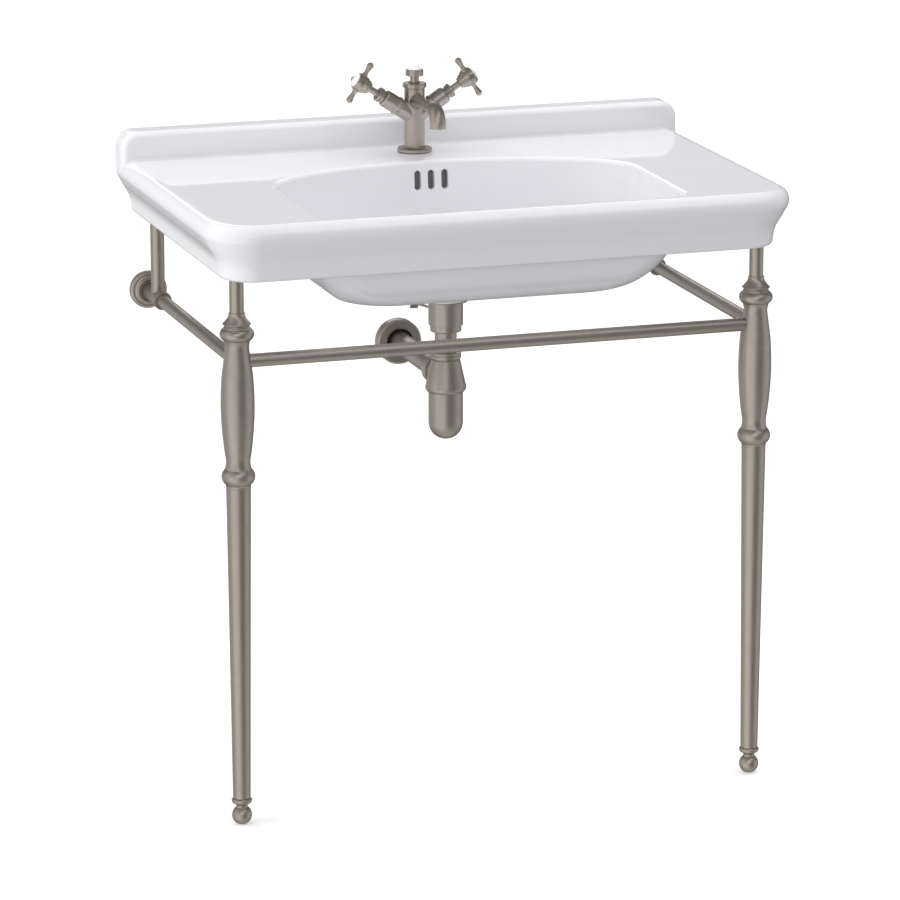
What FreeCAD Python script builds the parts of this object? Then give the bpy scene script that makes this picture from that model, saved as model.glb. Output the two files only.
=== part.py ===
import FreeCAD, Part
import math
import os

V = FreeCAD.Vector
UP = V(0, 0, 1)
DOWN = V(0, 0, -1)
RIGHT = V(1, 0, 0)
TO_WALL = V(0, 1, 0)
TO_USER = V(0, -1, 0)

# A console basin on two turned front legs, with tubular rails to the wall, a mixer tap,
# a pop-up waste and a bottle trap. Millimetres. X is to the right, +Y is into the wall and
# +Z is up. The origin is on the floor, under the middle of the basin.

# ---------------------------------------------------------------- overall sizes
basin_width = 850.0
basin_depth = 550.0
rim_height = 863.0          # top of the deck above the floor
rail_drop = 198.0           # from the deck to the rails' axes
leg_side_inset = 45.0       # from the basin's widest line to a front leg's axis
leg_front_inset = 65.0
rear_post_from_wall = 60.0
rail_height = rim_height - rail_drop
leg_spacing = basin_width - 2 * leg_side_inset
leg_from_wall = basin_depth - leg_front_inset
wall_y = basin_depth / 2

# ---------------------------------------------------------------- clearances
fit = 0.15                  # radial, between fixed pieces that slide together once
running = 0.06              # radial, between a turning or sliding shaft and its bore
gap = 0.3                   # between pieces that move past each other

# ---------------------------------------------------------------- basin
apron_height = 81.0
corner_radius = 70.0        # in plan, at the widest line
roll_radius = 17.5
apron_inset = 22.5          # of the apron's face, behind the widest line
apron_foot_radius = 4.0
apron_wall = 13.0
deck_thickness = 16.0
back_wall = 22.0
upstand_height = 41.0
upstand_depth = 41.0
upstand_corner = 24.0
upstand_edge = 9.0
bowl_wall = 11.5
bowl_edge = 6.0
bowl_land = 8.0             # straight part of the bowl's walls, below the deck's face
deck_side = 159.0           # from the basin's widest line to the bowl
deck_front = 30.0
bowl_half_width = basin_width / 2 - deck_side
bowl_front = basin_depth - deck_front   # inner faces, measured from the wall
bowl_back = 168.0
bowl_crown = 128.0          # depth of the curved back, a half ellipse in plan
bowl_corner = 28.0
bowl_wall_drop = 132.0      # from the deck to the foot of the bowl's walls
bowl_floor_inset = 84.0
bowl_floor_back_inset = 30.0
bowl_floor_crown = 88.0
bowl_floor_corner = 58.0
bowl_lean = 0.22            # share of the walls' inset that is a straight lean
bowl_floor_thickness = 12.0
bowl_dish_share = 0.72      # how far in the floor turns steeper, towards the waste
bowl_dish_sink = 0.62       # share of the floor's fall that lies outside that line
waste_from_wall = 237.0
waste_seat_drop = 173.0     # from the deck to the seat of the waste's flange
waste_boss_drop = 187.0     # from the deck to the ceramic's lowest face
waste_hole_radius = 22.5
overflow_width = 8.7
overflow_height = 27.0
overflow_pitch = 20.5
overflow_drop = 27.5        # from the deck to the slots' middle
duct_half_width = 34.0
duct_depth = 10.0
duct_wall = 8.0
tap_from_wall = 90.0
tap_hole_radius = 17.5
fixing_spacing = 280.0
fixing_hole_radius = 7.0
fixing_drop = 38.0
post_boss_radius = 26.0
post_boss_drop = 73.0       # from the deck to the underside of the post bosses
post_socket_depth = 25.0

# ---------------------------------------------------------------- stand
post_radius = 10.0
tube_wall = 1.5
rail_radius = 9.4
pad_thickness = 3.0
baluster_rise = 69.0        # from the rail's axis to the baluster's top
baluster_drop = 177.4       # from the rail's axis to the baluster's foot
post_grip = 30.0            # length of a post inside its socket
rail_socket_start = 10.0    # from the leg's axis to the end of a rail
leg_top_radius = 17.4
leg_bottom_radius = 12.5
leg_wall = 2.0
leg_plug = 32.0
spigot_radius = 8.0
spigot_length = 26.0
foot_height = 38.5
foot_ball_radius = 14.0
foot_flat = 0.5
foot_stud_radius = 5.0
foot_stud_length = 34.0
tee_radius = 11.6
tee_ring_radius = 13.6
tee_ring_width = 4.5
tee_front = 88.0            # from the wall
tee_rail_grip = 15.0
flange_radius = 27.5
flange_depth = 14.0
plate_radius = 20.5
plate_thickness = 4.0
plate_hole_radius = 2.6
plate_hole_spacing = 28.0
plate_boss_radius = 10.0
plate_boss_depth = 12.0

# ---------------------------------------------------------------- waste and trap
waste_flange_radius = 32.0
waste_flange_thickness = 3.0
waste_tube_radius = 20.5
waste_bore_radius = 17.5
waste_tube_length = 28.0
washer_radius = 30.5
washer_thickness = 3.0
waste_body_radius = 25.0
waste_body_flange_radius = 31.3
waste_body_flange = 2.0
waste_body_length = 36.0
waste_tail_radius = 20.0
waste_tail_length = 6.0
pipe_radius = 16.0
pipe_wall = 1.3
collar_radius = 22.7
collar_height = 10.0
trap_nut_radius = 22.3
trap_nut_height = 9.5
trap_nut_drop = 76.0        # from the washer's foot to the top nut's top
trap_neck_radius = 19.5
trap_cone_top_radius = 20.9
trap_cone_radius = 29.8
trap_cone_height = 48.0
trap_cone_chamfer = 3.3
bottle_radius = 25.0
bottle_wall = 2.2
bottle_drop = 70.5          # from the cone's foot to the bottle's lowest point
bottle_engagement = 14.0
dip_tube_length = 127.0
outlet_drop = 35.5          # from the top nut's top to the outlet's axis
outlet_neck_radius = 19.0
outlet_bore_radius = 15.4
outlet_nut_start = 33.0     # from the trap's axis
outlet_nut_length = 15.0
rose_radius = 34.0
rose_depth = 17.0
rose_bore_radius = 20.0

# ---------------------------------------------------------------- pop-up linkage
plug_travel = 6.0
plug_radius = 20.4
plug_thickness = 3.5
plug_stem_radius = 4.0
ball_radius = 5.0
ball_from_axis = 24.0
ball_drop = 21.0            # from the washer's foot to the pivot
lever_radius = 2.0
lever_inner_reach = 27.0
lift_rod_radius = 2.4
lift_rod_foot = 100.0       # from the deck down to the end of the lift rod
strap_drop = 76.0           # from the deck down to the strap's top
strap_width = 12.0
strap_thickness = 2.0

# ---------------------------------------------------------------- tap
tap_seal = 0.8
tap_base_radius = 25.3
tap_base_height = 5.0
tap_body_radius = 14.8
tap_spigot_radius = 16.5
tap_spigot_length = 8.0
tap_body_top = 94.0         # above the deck
cap_radius = 17.2
cap_height = 6.8
stem_radius = 6.3
stem_foot = 52.0            # above the deck
knob_radius = 12.8
knob_foot = 111.1
knob_height = 9.6
button_radius = 11.2
button_rise = 5.0
chamber_radius = 10.5
inlet_radius = 4.6
inlet_spacing = 16.8
arm_height = 51.0           # where the valves' axes meet the body's axis
arm_angle = 33.2            # above the level
arm_radius = 13.4
arm_end_radius = 12.2
arm_length = 29.6
collar_ring_radius = 13.9
collar_ring_length = 4.6
bonnet_radius = 12.6
bonnet_length = 23.0
bonnet_edge = 4.5
bonnet_neck_radius = 8.4
bonnet_neck_length = 6.0
gland_radius = 10.8
gland_start = 60.2
gland_length = 7.0
spindle_radius = 4.8
cartridge_radius = 8.6
cartridge_start = 16.0
cartridge_length = 26.0
hub_start = 82.0
hub_radius = 12.3
hub_end = 106.0
handle_axis = 98.6
handle_reach = 33.5
handle_root_radius = 4.7
handle_neck_radius = 3.1
handle_ball_radius = 4.8
index_radius = 10.4
index_rise = 4.6
spout_height = 78.0
spout_reach = 111.0
spout_root_half_width = 11.0
spout_root_half_height = 14.5
spout_radius = 7.8
spout_mouth_radius = 11.7
spout_mouth_height = 53.0
spout_bend = 21.0
spout_wall = 1.8
aerator_height = 9.0
stud_radius = 4.0
stud_offset = 11.5
clamp_radius = 25.0
clamp_thickness = 3.0
nut_across_flats = 13.0
nut_height = 6.5

pieces = {}


# ---------------------------------------------------------------- helpers
def from_wall(distance):
    """The Y of a point that lies this far in front of the wall."""
    return wall_y - distance


def outline(start, steps):
    """Edges of an outline in the plane of radius (X) and height (Z).

    A step is "line" with points, "arc" with a middle and an end, or "curve" with points.
    """
    edges = []
    here = V(start[0], 0, start[1])
    for kind, *points in steps:
        ends = [V(radius, 0, height) for radius, height in points]
        if kind == "line":
            for end in ends:
                edges.append(Part.makeLine(here, end))
                here = end
        elif kind == "arc":
            edges.append(Part.Arc(here, ends[0], ends[1]).toShape())
            here = ends[1]
        else:
            spline = Part.BSplineCurve()
            spline.interpolate([here] + ends)
            edges.append(spline.toShape())
            here = ends[-1]
    return edges, here


def turned(start, *steps):
    """A solid of revolution about Z, from an outline that is closed along the axis."""
    edges, end = outline(start, steps)
    first = V(start[0], 0, start[1])
    if end.distanceToPoint(first) > 1e-6:
        if end.x > 1e-6:
            edges.append(Part.makeLine(end, V(0, 0, end.z)))
        if abs(end.z - first.z) > 1e-6:
            edges.append(Part.makeLine(V(0, 0, end.z), V(0, 0, first.z)))
        if first.x > 1e-6:
            edges.append(Part.makeLine(V(0, 0, first.z), first))
    face = Part.Face(Part.Wire(edges))
    return face.revolve(V(0, 0, 0), UP, 360)


def dome(radius, low, high):
    """A step from (radius, low) up to the axis, on a sphere whose centre is on the axis."""
    rise = high - low
    sphere = (radius ** 2 + rise ** 2) / (2 * rise)
    centre = high - sphere
    turn = (math.asin((low - centre) / sphere) + math.pi / 2) / 2
    return "arc", (sphere * math.cos(turn), centre + sphere * math.sin(turn)), (0, high)


def rod(radius, low, high):
    """A cylinder on Z between two heights."""
    return Part.makeCylinder(radius, high - low, V(0, 0, low))


def tube(outer, inner, low, high):
    """A round tube on Z between two heights."""
    return rod(outer, low, high).cut(rod(inner, low - 1, high + 1))


def placed(shape, base, axis=UP):
    """The shape with its own Z turned to an axis and its origin moved to a base point."""
    moved = shape.copy()
    moved.Placement = FreeCAD.Placement(base, FreeCAD.Rotation(UP, axis)).multiply(shape.Placement)
    return moved


def one_solid(shape):
    """The shape's solids without the seams that joining leaves."""
    clean = shape.removeSplitter()
    return clean.Solids[0] if len(clean.Solids) == 1 else Part.makeCompound(clean.Solids)


def keep(node, shape):
    pieces[node] = one_solid(shape)


# ---------------------------------------------------------------- basin
def rim_edge_face():
    """The rim's edge in section: X is the inset from the widest line, Z the height."""
    below = rim_height - roll_radius
    slant = roll_radius * math.sqrt(0.5)
    roll_end = (roll_radius - slant, below - slant)
    foot = rim_height - apron_height
    ogee = [
        (apron_inset * 0.38, rim_height - apron_height * 0.4667),
        (apron_inset * 0.62, rim_height - apron_height * 0.5741),
        (apron_inset * 0.82, rim_height - apron_height * 0.6852),
        (apron_inset * 0.93, rim_height - apron_height * 0.7901),
        (apron_inset, foot + apron_foot_radius),
    ]
    foot_slant = apron_foot_radius * (1 - math.sqrt(0.5))
    edges, end = outline((corner_radius, foot), [
        ("line", (corner_radius, rim_height), (roll_radius, rim_height)),
        ("arc", (roll_radius * (1 - math.sqrt(0.5)), below + slant), (0, below)),
        ("arc", (roll_radius * (1 - math.cos(math.pi / 8)), below - roll_radius * math.sin(math.pi / 8)),
         roll_end),
        ("curve", *ogee),
        ("arc", (apron_inset + foot_slant, foot + foot_slant), (apron_inset + apron_foot_radius, foot)),
        ("line", (corner_radius, foot)),
    ])
    return Part.Face(Part.Wire(edges))


def rim_block():
    """The solid block inside the rim's edge: three sides, two round corners and the middle."""
    half = basin_width / 2
    front = from_wall(basin_depth)
    straight = basin_depth - corner_radius
    section = rim_edge_face()
    left = section.copy()
    left.Placement = FreeCAD.Placement(V(-half, front + corner_radius, 0), FreeCAD.Rotation())
    facing = section.copy()
    facing.Placement = FreeCAD.Placement(V(half - corner_radius, front, 0), FreeCAD.Rotation(UP, 90))
    start = section.copy()
    start.Placement = FreeCAD.Placement(V(-half + corner_radius, front, 0), FreeCAD.Rotation(UP, 90))
    right = section.copy()
    right.Placement = FreeCAD.Placement(V(half, front + corner_radius, 0), FreeCAD.Rotation(UP, 180))
    block = Part.makeBox(basin_width - 2 * corner_radius, straight, apron_height,
                         V(-half + corner_radius, front + corner_radius, rim_height - apron_height))
    sides = [
        left.extrude(V(0, straight, 0)),
        right.extrude(V(0, straight, 0)),
        start.extrude(V(basin_width - 2 * corner_radius, 0, 0)),
        left.revolve(V(-half + corner_radius, front + corner_radius, 0), UP, 90),
        facing.revolve(V(half - corner_radius, front + corner_radius, 0), UP, 90),
    ]
    return block.multiFuse(sides).removeSplitter()


def upstand():
    """The low splashback along the wall, with round top corners and a soft front edge."""
    half = basin_width / 2
    low = rim_height - roll_radius
    high = rim_height + upstand_height
    slant = upstand_corner * (1 - math.sqrt(0.5))
    edges, end = outline((-half, low), [
        ("line", (-half, high - upstand_corner)),
        ("arc", (-half + slant, high - slant), (-half + upstand_corner, high)),
        ("line", (half - upstand_corner, high)),
        ("arc", (half - slant, high - slant), (half, high - upstand_corner)),
        ("line", (half, low), (-half, low)),
    ])
    face = Part.Face(Part.Wire(edges))
    face.translate(V(0, from_wall(upstand_depth), 0))
    body = face.extrude(V(0, upstand_depth, 0))
    front_edges = []
    for edge in body.Edges:
        box = edge.BoundBox
        if box.YMax < from_wall(upstand_depth) + 1e-3 and box.ZMax > low + 1:
            front_edges.append(edge)
    return body.makeFillet(upstand_edge, front_edges)


def bowl_section(half_width, front, back, crown, corner, height):
    """A closed level outline: straight front and sides, round corners, half an ellipse behind."""
    front_y = from_wall(front)
    side_y = from_wall(back + crown)
    slant = corner * (1 - math.sqrt(0.5))
    front_left = V(-half_width + corner, front_y, height)
    front_right = V(half_width - corner, front_y, height)
    right_start = V(half_width, front_y + corner, height)
    right_end = V(half_width, side_y, height)
    left_start = V(-half_width, front_y + corner, height)
    left_end = V(-half_width, side_y, height)
    ellipse = Part.Ellipse(V(0, side_y, height), half_width, crown)
    return Part.Wire([
        Part.makeLine(front_left, front_right),
        Part.Arc(front_right, V(half_width - slant, front_y + slant, height), right_start).toShape(),
        Part.makeLine(right_start, right_end),
        Part.ArcOfEllipse(ellipse, 0, math.pi).toShape(),
        Part.makeLine(left_end, left_start),
        Part.Arc(left_start, V(-half_width + slant, front_y + slant, height), front_left).toShape(),
    ])


def bowl_body(grow, top, floor_drop):
    """The bowl's space, grown outwards: walls on a leaning quarter ellipse, then a dished floor."""
    wires = []
    start = rim_height - bowl_land
    drop = bowl_wall_drop + floor_drop - bowl_land
    for degrees in (0, 24, 44, 60, 74, 90):
        turn = math.radians(degrees)
        inward = bowl_lean * math.sin(turn) + (1 - bowl_lean) * (1 - math.cos(turn))
        wires.append(bowl_section(
            bowl_half_width + grow - inward * bowl_floor_inset,
            bowl_front + grow - inward * bowl_floor_inset,
            bowl_back - grow + inward * bowl_floor_back_inset,
            bowl_crown + inward * (bowl_floor_crown - bowl_crown),
            bowl_corner + grow + inward * (bowl_floor_corner - bowl_corner),
            start - drop * math.sin(turn)))
    walls = Part.makeLoft(wires, True, False)
    if top > start:
        walls = walls.fuse(Part.Face(wires[0]).extrude(V(0, 0, top - start)))
    floor_height = start - drop
    end_height = rim_height - waste_boss_drop if floor_drop else rim_height - waste_seat_drop + 2
    floor_half = bowl_half_width + grow - bowl_floor_inset
    floor_front = bowl_front + grow - bowl_floor_inset
    floor_back = bowl_back - grow + bowl_floor_back_inset
    end_radius = waste_flange_radius + 2
    wires = []
    for share, sink in ((0.0, 0.0), (bowl_dish_share, bowl_dish_sink), (1.0, 1.0)):
        wires.append(bowl_section(
            floor_half + share * (end_radius - floor_half),
            floor_front + share * (waste_from_wall + end_radius - floor_front),
            floor_back + share * (waste_from_wall - end_radius - floor_back),
            bowl_floor_crown + share * (end_radius * 0.9 - bowl_floor_crown),
            bowl_floor_corner + share * (end_radius * 0.6 - bowl_floor_corner),
            floor_height + sink * (end_height - floor_height)))
    return walls.fuse(Part.makeLoft(wires, True, True))


def overflow_prism(near, far, half_width, roof, floor):
    """A block along the duct, between two distances behind the bowl's inner back wall.

    It runs down behind the bowl, then forward into the waste hole between two heights.
    """
    shares = ((0.0, 0.106), (0.17, 0.455), (0.47, 0.795), (0.9, 1.106), (1.03, 1.303))
    line = [(inset * bowl_floor_back_inset, drop * bowl_wall_drop) for inset, drop in shares]
    end = from_wall(waste_from_wall - waste_hole_radius + 4)
    points = [V(0, from_wall(bowl_back + inset - near), rim_height - drop) for inset, drop in line]
    points.append(V(0, end, roof))
    points.append(V(0, end, floor))
    for inset, drop in reversed(line):
        points.append(V(0, from_wall(bowl_back + inset - far), rim_height - drop))
    face = Part.Face(Part.makePolygon(points + [points[0]]))
    face.translate(V(-half_width, 0, 0))
    return face.extrude(V(2 * half_width, 0, 0))


def overflow_slot(x):
    """A cutter for one upright slot with round ends, through the bowl's back wall."""
    reach = bowl_wall + duct_depth * 0.5 + 14
    straight = overflow_height - overflow_width
    middle = rim_height - overflow_drop
    start = from_wall(bowl_back + 14)
    body = Part.makeBox(overflow_width, reach, straight,
                        V(x - overflow_width / 2, start, middle - straight / 2))
    for height in (middle - straight / 2, middle + straight / 2):
        end = Part.makeCylinder(overflow_width / 2, reach, V(x, start, height), TO_WALL)
        body = body.fuse(end)
    return body


def post_points():
    """The four places where a post meets the basin's underside."""
    for side in (-1, 1):
        for distance in (leg_from_wall, rear_post_from_wall):
            yield side * leg_spacing / 2, from_wall(distance)


def basin():
    half = basin_width / 2
    foot = rim_height - apron_height
    under_deck = rim_height - deck_thickness
    shell = rim_block()
    inset = apron_inset + apron_wall
    cavity = Part.makeBox(basin_width - 2 * inset, basin_depth - inset - back_wall, under_deck - foot + 1,
                          V(-half + inset, from_wall(basin_depth - inset), foot - 1))
    upright = [edge for edge in cavity.Edges if edge.BoundBox.ZLength > 1 and edge.BoundBox.YMax < 0]
    cavity = cavity.makeFillet(corner_radius - inset, upright)
    shell = shell.cut(cavity)
    boss_foot = rim_height - post_boss_drop
    added = [upstand(), bowl_body(bowl_wall, 0, bowl_floor_thickness)]
    for x, y in post_points():
        inside = min(post_boss_radius, basin_width / 2 - apron_inset - abs(x) - 2)
        added.append(Part.makeCylinder(inside, under_deck - boss_foot + 2, V(x, y, boss_foot)))
    boss_top = rim_height - waste_seat_drop
    waste_foot = rim_height - waste_boss_drop
    added.append(overflow_prism(bowl_wall - 2, bowl_wall + duct_depth + duct_wall,
                                duct_half_width + duct_wall, boss_top - 2, waste_foot))
    added.append(placed(rod(waste_flange_radius + 2, waste_foot, boss_top),
                        V(0, from_wall(waste_from_wall), 0)))
    shell = shell.multiFuse(added)
    removed = [bowl_body(0, rim_height + 12, 0)]
    removed.append(overflow_prism(bowl_wall, bowl_wall + duct_depth, duct_half_width,
                                  boss_top - 4, waste_foot + 4))
    for step in (-1, 0, 1):
        removed.append(overflow_slot(step * overflow_pitch))
    for x, y in post_points():
        socket = rod(post_radius + fit, foot - 2, boss_foot + post_socket_depth)
        removed.append(rod(post_radius + 2, foot - 2, boss_foot).translated(V(x, y, 0)))
        removed.append(socket.translated(V(x, y, 0)))
    waste_axis = V(0, from_wall(waste_from_wall), 0)
    removed.append(rod(waste_hole_radius, foot - 150, rim_height).translated(waste_axis))
    removed.append(rod(waste_flange_radius + 1, boss_top, rim_height - 20).translated(waste_axis))
    tap_hole = rod(tap_hole_radius, foot, rim_height + 1)
    removed.append(tap_hole.translated(V(0, from_wall(tap_from_wall), 0)))
    for side in (-1, 1):
        removed.append(Part.makeCylinder(fixing_hole_radius, back_wall + 2,
                                         V(side * fixing_spacing / 2, from_wall(back_wall + 1),
                                           rim_height - fixing_drop), TO_WALL))
    shell = shell.cut(removed[0])
    rim = [edge for edge in shell.Edges if is_bowl_rim(edge)]
    shell = shell.makeFillet(bowl_edge, rim)
    for cutter in removed[1:]:
        shell = shell.cut(cutter)
    keep("basin", shell)


def is_bowl_rim(edge):
    """True for an edge of the bowl's opening in the deck."""
    box = edge.BoundBox
    level = abs(box.ZMin - rim_height) < 1e-3 and abs(box.ZMax - rim_height) < 1e-3
    inside = box.XMax < bowl_half_width + 1 and box.XMin > -bowl_half_width - 1
    ahead = box.YMax < from_wall(bowl_back - 1) and box.YMin > from_wall(bowl_front + 1)
    return level and inside and ahead


# ---------------------------------------------------------------- stand
def leg_shares(*pairs):
    """Points of a leg's outline: shares of the lower leg's top radius and of the baluster's drop."""
    return [(radius * leg_top_radius, rail_height + rise * baluster_drop) for radius, rise in pairs]


def baluster(side):
    """The turned middle of a leg, with sockets for the post, the rails and the lower leg."""
    z = rail_height
    body = turned(
        (post_radius + 1.2, z + baluster_rise),
        ("curve", *leg_shares((0.684, 0.358), (0.879, 0.328), (1.132, 0.302))),
        ("line", *leg_shares((1.132, 0.2965), (0.977, 0.287), (0.977, 0.281), (1.057, 0.274),
                             (1.057, 0.266))),
        ("arc", *leg_shares((1.356, 0.232), (1.086, 0.1725))),
        ("curve", *leg_shares((0.989, 0.141), (0.960, 0.107), (1.034, 0.045), (1.126, -0.0225),
                              (1.264, -0.130), (1.351, -0.3495), (1.270, -0.5355), (1.103, -0.699),
                              (0.977, -0.7835), (0.983, -0.8117), (1.029, -0.840))),
        ("line", *leg_shares((1.057, -0.8534))),
        ("arc", *leg_shares((1.345, -0.9132), (1.046, -0.9752))),
        ("line", *leg_shares((1.0, -0.9865), (1.0, -1.0))),
    )
    body = body.fuse(rod(spigot_radius, z - baluster_drop - spigot_length, z - baluster_drop + 1))
    socket_foot = z + baluster_rise - post_grip
    body = body.cut(rod(post_radius + fit, socket_foot, z + baluster_rise + 1))
    inward = V(-side, 0, 0)
    for axis in (inward, TO_WALL):
        hole = rod(rail_radius + fit, rail_socket_start, 40)
        body = body.cut(placed(hole, V(0, 0, z), axis))
    return placed(body, V(side * leg_spacing / 2, from_wall(leg_from_wall), 0))


def lower_leg(side):
    """The long tapered tube under the baluster, closed by a plug at each end."""
    top = rail_height - baluster_drop
    outer = turned((leg_top_radius, top), ("line", (leg_bottom_radius, foot_height)))
    hollow_top = top - leg_plug
    hollow_foot = foot_height + leg_plug
    slope = (leg_top_radius - leg_bottom_radius) / (top - foot_height)
    hollow = turned((leg_top_radius - slope * leg_plug - leg_wall, hollow_top),
                    ("line", (leg_bottom_radius + slope * leg_plug - leg_wall, hollow_foot)))
    body = outer.cut(hollow)
    body = body.cut(rod(spigot_radius + fit, top - spigot_length - 1, top + 1))
    body = body.cut(rod(foot_stud_radius + running, foot_height - 1, hollow_foot + 1))
    return placed(body, V(side * leg_spacing / 2, from_wall(leg_from_wall), 0))


def levelling_foot(side):
    """A ball foot on a screwed stud, which winds out to level the basin."""
    ball = foot_ball_radius
    flat = math.sqrt(ball ** 2 - (ball - foot_flat) ** 2)
    neck = 8.3
    join = math.sqrt(ball ** 2 - neck ** 2)
    top = foot_height - gap
    shape = turned(
        (flat, 0),
        ("arc", (ball, ball - foot_flat), (neck, ball - foot_flat + join)),
        ("arc", (neck - 0.3, 27.0), (neck + 0.9, 29.4)),
        ("line", (12.4, 31.2)),
        ("arc", (14.3, 34.4), (12.6, top)),
        ("line", (foot_stud_radius, top), (foot_stud_radius, top + foot_stud_length)),
    )
    return placed(shape, V(side * leg_spacing / 2, from_wall(leg_from_wall), 0))


def front_post(side):
    low = rail_height + baluster_rise - post_grip
    high = rim_height - post_boss_drop + post_socket_depth - pad_thickness
    shape = tube(post_radius, post_radius - tube_wall, low, high)
    return placed(shape, V(side * leg_spacing / 2, from_wall(leg_from_wall), 0))


def rear_post(side):
    high = rim_height - post_boss_drop + post_socket_depth - pad_thickness
    shape = tube(post_radius, post_radius - tube_wall, rail_height, high)
    return placed(shape, V(side * leg_spacing / 2, from_wall(rear_post_from_wall), 0))


def post_pads():
    """The soft pads between the posts' ends and the ceramic."""
    high = rim_height - post_boss_drop + post_socket_depth
    pads = []
    for x, y in post_points():
        pads.append(rod(post_radius - fit, high - pad_thickness, high).translated(V(x, y, 0)))
    return Part.makeCompound(pads)


def side_rail(side):
    near = from_wall(leg_from_wall - rail_socket_start)
    far = from_wall(tee_front - tee_rail_grip)
    shape = tube(rail_radius, rail_radius - tube_wall, 0, far - near)
    return placed(shape, V(side * leg_spacing / 2, near, rail_height), TO_WALL)


def front_rail():
    reach = leg_spacing / 2 - rail_socket_start
    shape = tube(rail_radius, rail_radius - tube_wall, -reach, reach)
    return placed(shape, V(0, from_wall(leg_from_wall), rail_height), RIGHT)


def tee(side):
    """The fitting that joins a side rail, a rear post and the wall. Its own Z leaves the wall."""
    body = rod(tee_radius, plate_boss_depth + 1, tee_front)
    ring = turned(
        (tee_radius - 1, tee_front - tee_ring_width),
        ("line", (tee_ring_radius - 0.6, tee_front - tee_ring_width)),
        ("arc", (tee_ring_radius, tee_front - tee_ring_width / 2), (tee_ring_radius - 0.6, tee_front)),
    )
    body = body.fuse(ring).fuse(rod(plate_boss_radius - 3, plate_thickness, plate_boss_depth + 2))
    body = body.cut(rod(rail_radius + fit, tee_front - tee_rail_grip, tee_front + 1))
    shape = placed(body, V(side * leg_spacing / 2, wall_y, rail_height), TO_USER)
    socket = rod(post_radius + fit, rail_height, rail_height + 40)
    return shape.cut(socket.translated(V(side * leg_spacing / 2, from_wall(rear_post_from_wall), 0)))


def wall_flange(side):
    """The moulded cover round a tee's foot. Its own Z leaves the wall."""
    body = turned(
        (flange_radius, 0),
        ("line", (flange_radius, 3.6)),
        ("arc", (26.3, 8.0), (22.6, 9.4)),
        ("arc", (19.6, 10.4), (18.0, 13.0)),
        ("arc", (17.0, flange_depth), (15.4, flange_depth - 0.4)),
        ("line", (14.2, flange_depth - 2.2), (tee_radius + gap, flange_depth - 2.2)),
        ("line", (tee_radius + gap, 0)),
    )
    body = body.cut(rod(tee_radius + gap, -1, flange_depth + 1))
    body = body.cut(rod(plate_radius + gap, -1, plate_thickness + 2.4))
    return placed(body, V(side * leg_spacing / 2, wall_y, rail_height), TO_USER)


def wall_plates():
    """The two plates that are screwed to the wall and carry the tees."""
    plates = []
    for side in (-1, 1):
        plate = rod(plate_radius, 0, plate_thickness)
        plate = plate.fuse(rod(plate_boss_radius, plate_thickness - 1, plate_boss_depth))
        plate = plate.cut(rod(plate_boss_radius - 3 + fit, plate_thickness, plate_boss_depth + 1))
        plate = placed(plate, V(side * leg_spacing / 2, wall_y, rail_height), TO_USER)
        for step in (-1, 1):
            hole = Part.makeCylinder(plate_hole_radius, plate_thickness + 2,
                                     V(side * leg_spacing / 2, wall_y + 1,
                                       rail_height + step * plate_hole_spacing / 2), TO_USER)
            plate = plate.cut(hole)
        plates.append(plate)
    return Part.makeCompound(plates)


def stand():
    for side, name in ((-1, "left"), (1, "right")):
        keep("leg_baluster_" + name, baluster(side))
        keep("leg_lower_" + name, lower_leg(side))
        keep("levelling_foot_" + name, levelling_foot(side))
        keep("front_post_" + name, front_post(side))
        keep("rear_post_" + name, rear_post(side))
        keep("side_rail_" + name, side_rail(side))
        keep("wall_tee_" + name, tee(side))
        keep("wall_flange_" + name, wall_flange(side))
    keep("front_rail", front_rail())
    keep("post_pads", post_pads())
    keep("wall_plates", wall_plates())


# ---------------------------------------------------------------- waste and trap
washer_top = rim_height - waste_boss_drop
washer_foot = washer_top - washer_thickness
body_foot = washer_foot - waste_body_length
tail_foot = body_foot - waste_tail_length
collar_foot = body_foot - collar_height
nut_top = washer_foot - trap_nut_drop
nut_foot = nut_top - trap_nut_height
cone_top = nut_foot - 1.5
cone_foot = cone_top - trap_cone_height
outlet_height = nut_top - outlet_drop
seat_height = rim_height - waste_seat_drop
pivot_height = washer_foot - ball_drop
lever_rise = plug_travel / 2
lever_angle = math.degrees(math.atan2(lever_rise, ball_from_axis))


def at_waste(shape):
    return placed(shape, V(0, from_wall(waste_from_wall), 0))


def waste_flange():
    """The dished flange in the bowl, on a slotted tube that takes the overflow's water."""
    top = seat_height + waste_flange_thickness
    body = turned(
        (waste_flange_radius, seat_height),
        ("line", (waste_flange_radius, seat_height + 1.2)),
        ("arc", (waste_flange_radius - 1.2, top - 0.3), (waste_flange_radius - 3.5, top)),
        ("line", (plug_radius + 2.2, top - 0.4), (plug_radius + 1.2, top - 1.6)),
    )
    body = body.fuse(rod(waste_tube_radius, seat_height - waste_tube_length, seat_height + 1))
    body = body.cut(rod(waste_bore_radius, seat_height - waste_tube_length - 1, top + 1))
    window = Part.makeBox(60, 12, 8, V(-30, -6, seat_height - 11))
    body = body.cut(window)
    window.rotate(V(0, 0, 0), UP, 90)
    return at_waste(body.cut(window))


def waste_washer():
    return at_waste(tube(washer_radius, waste_tube_radius + fit, washer_foot, washer_top))


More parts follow.
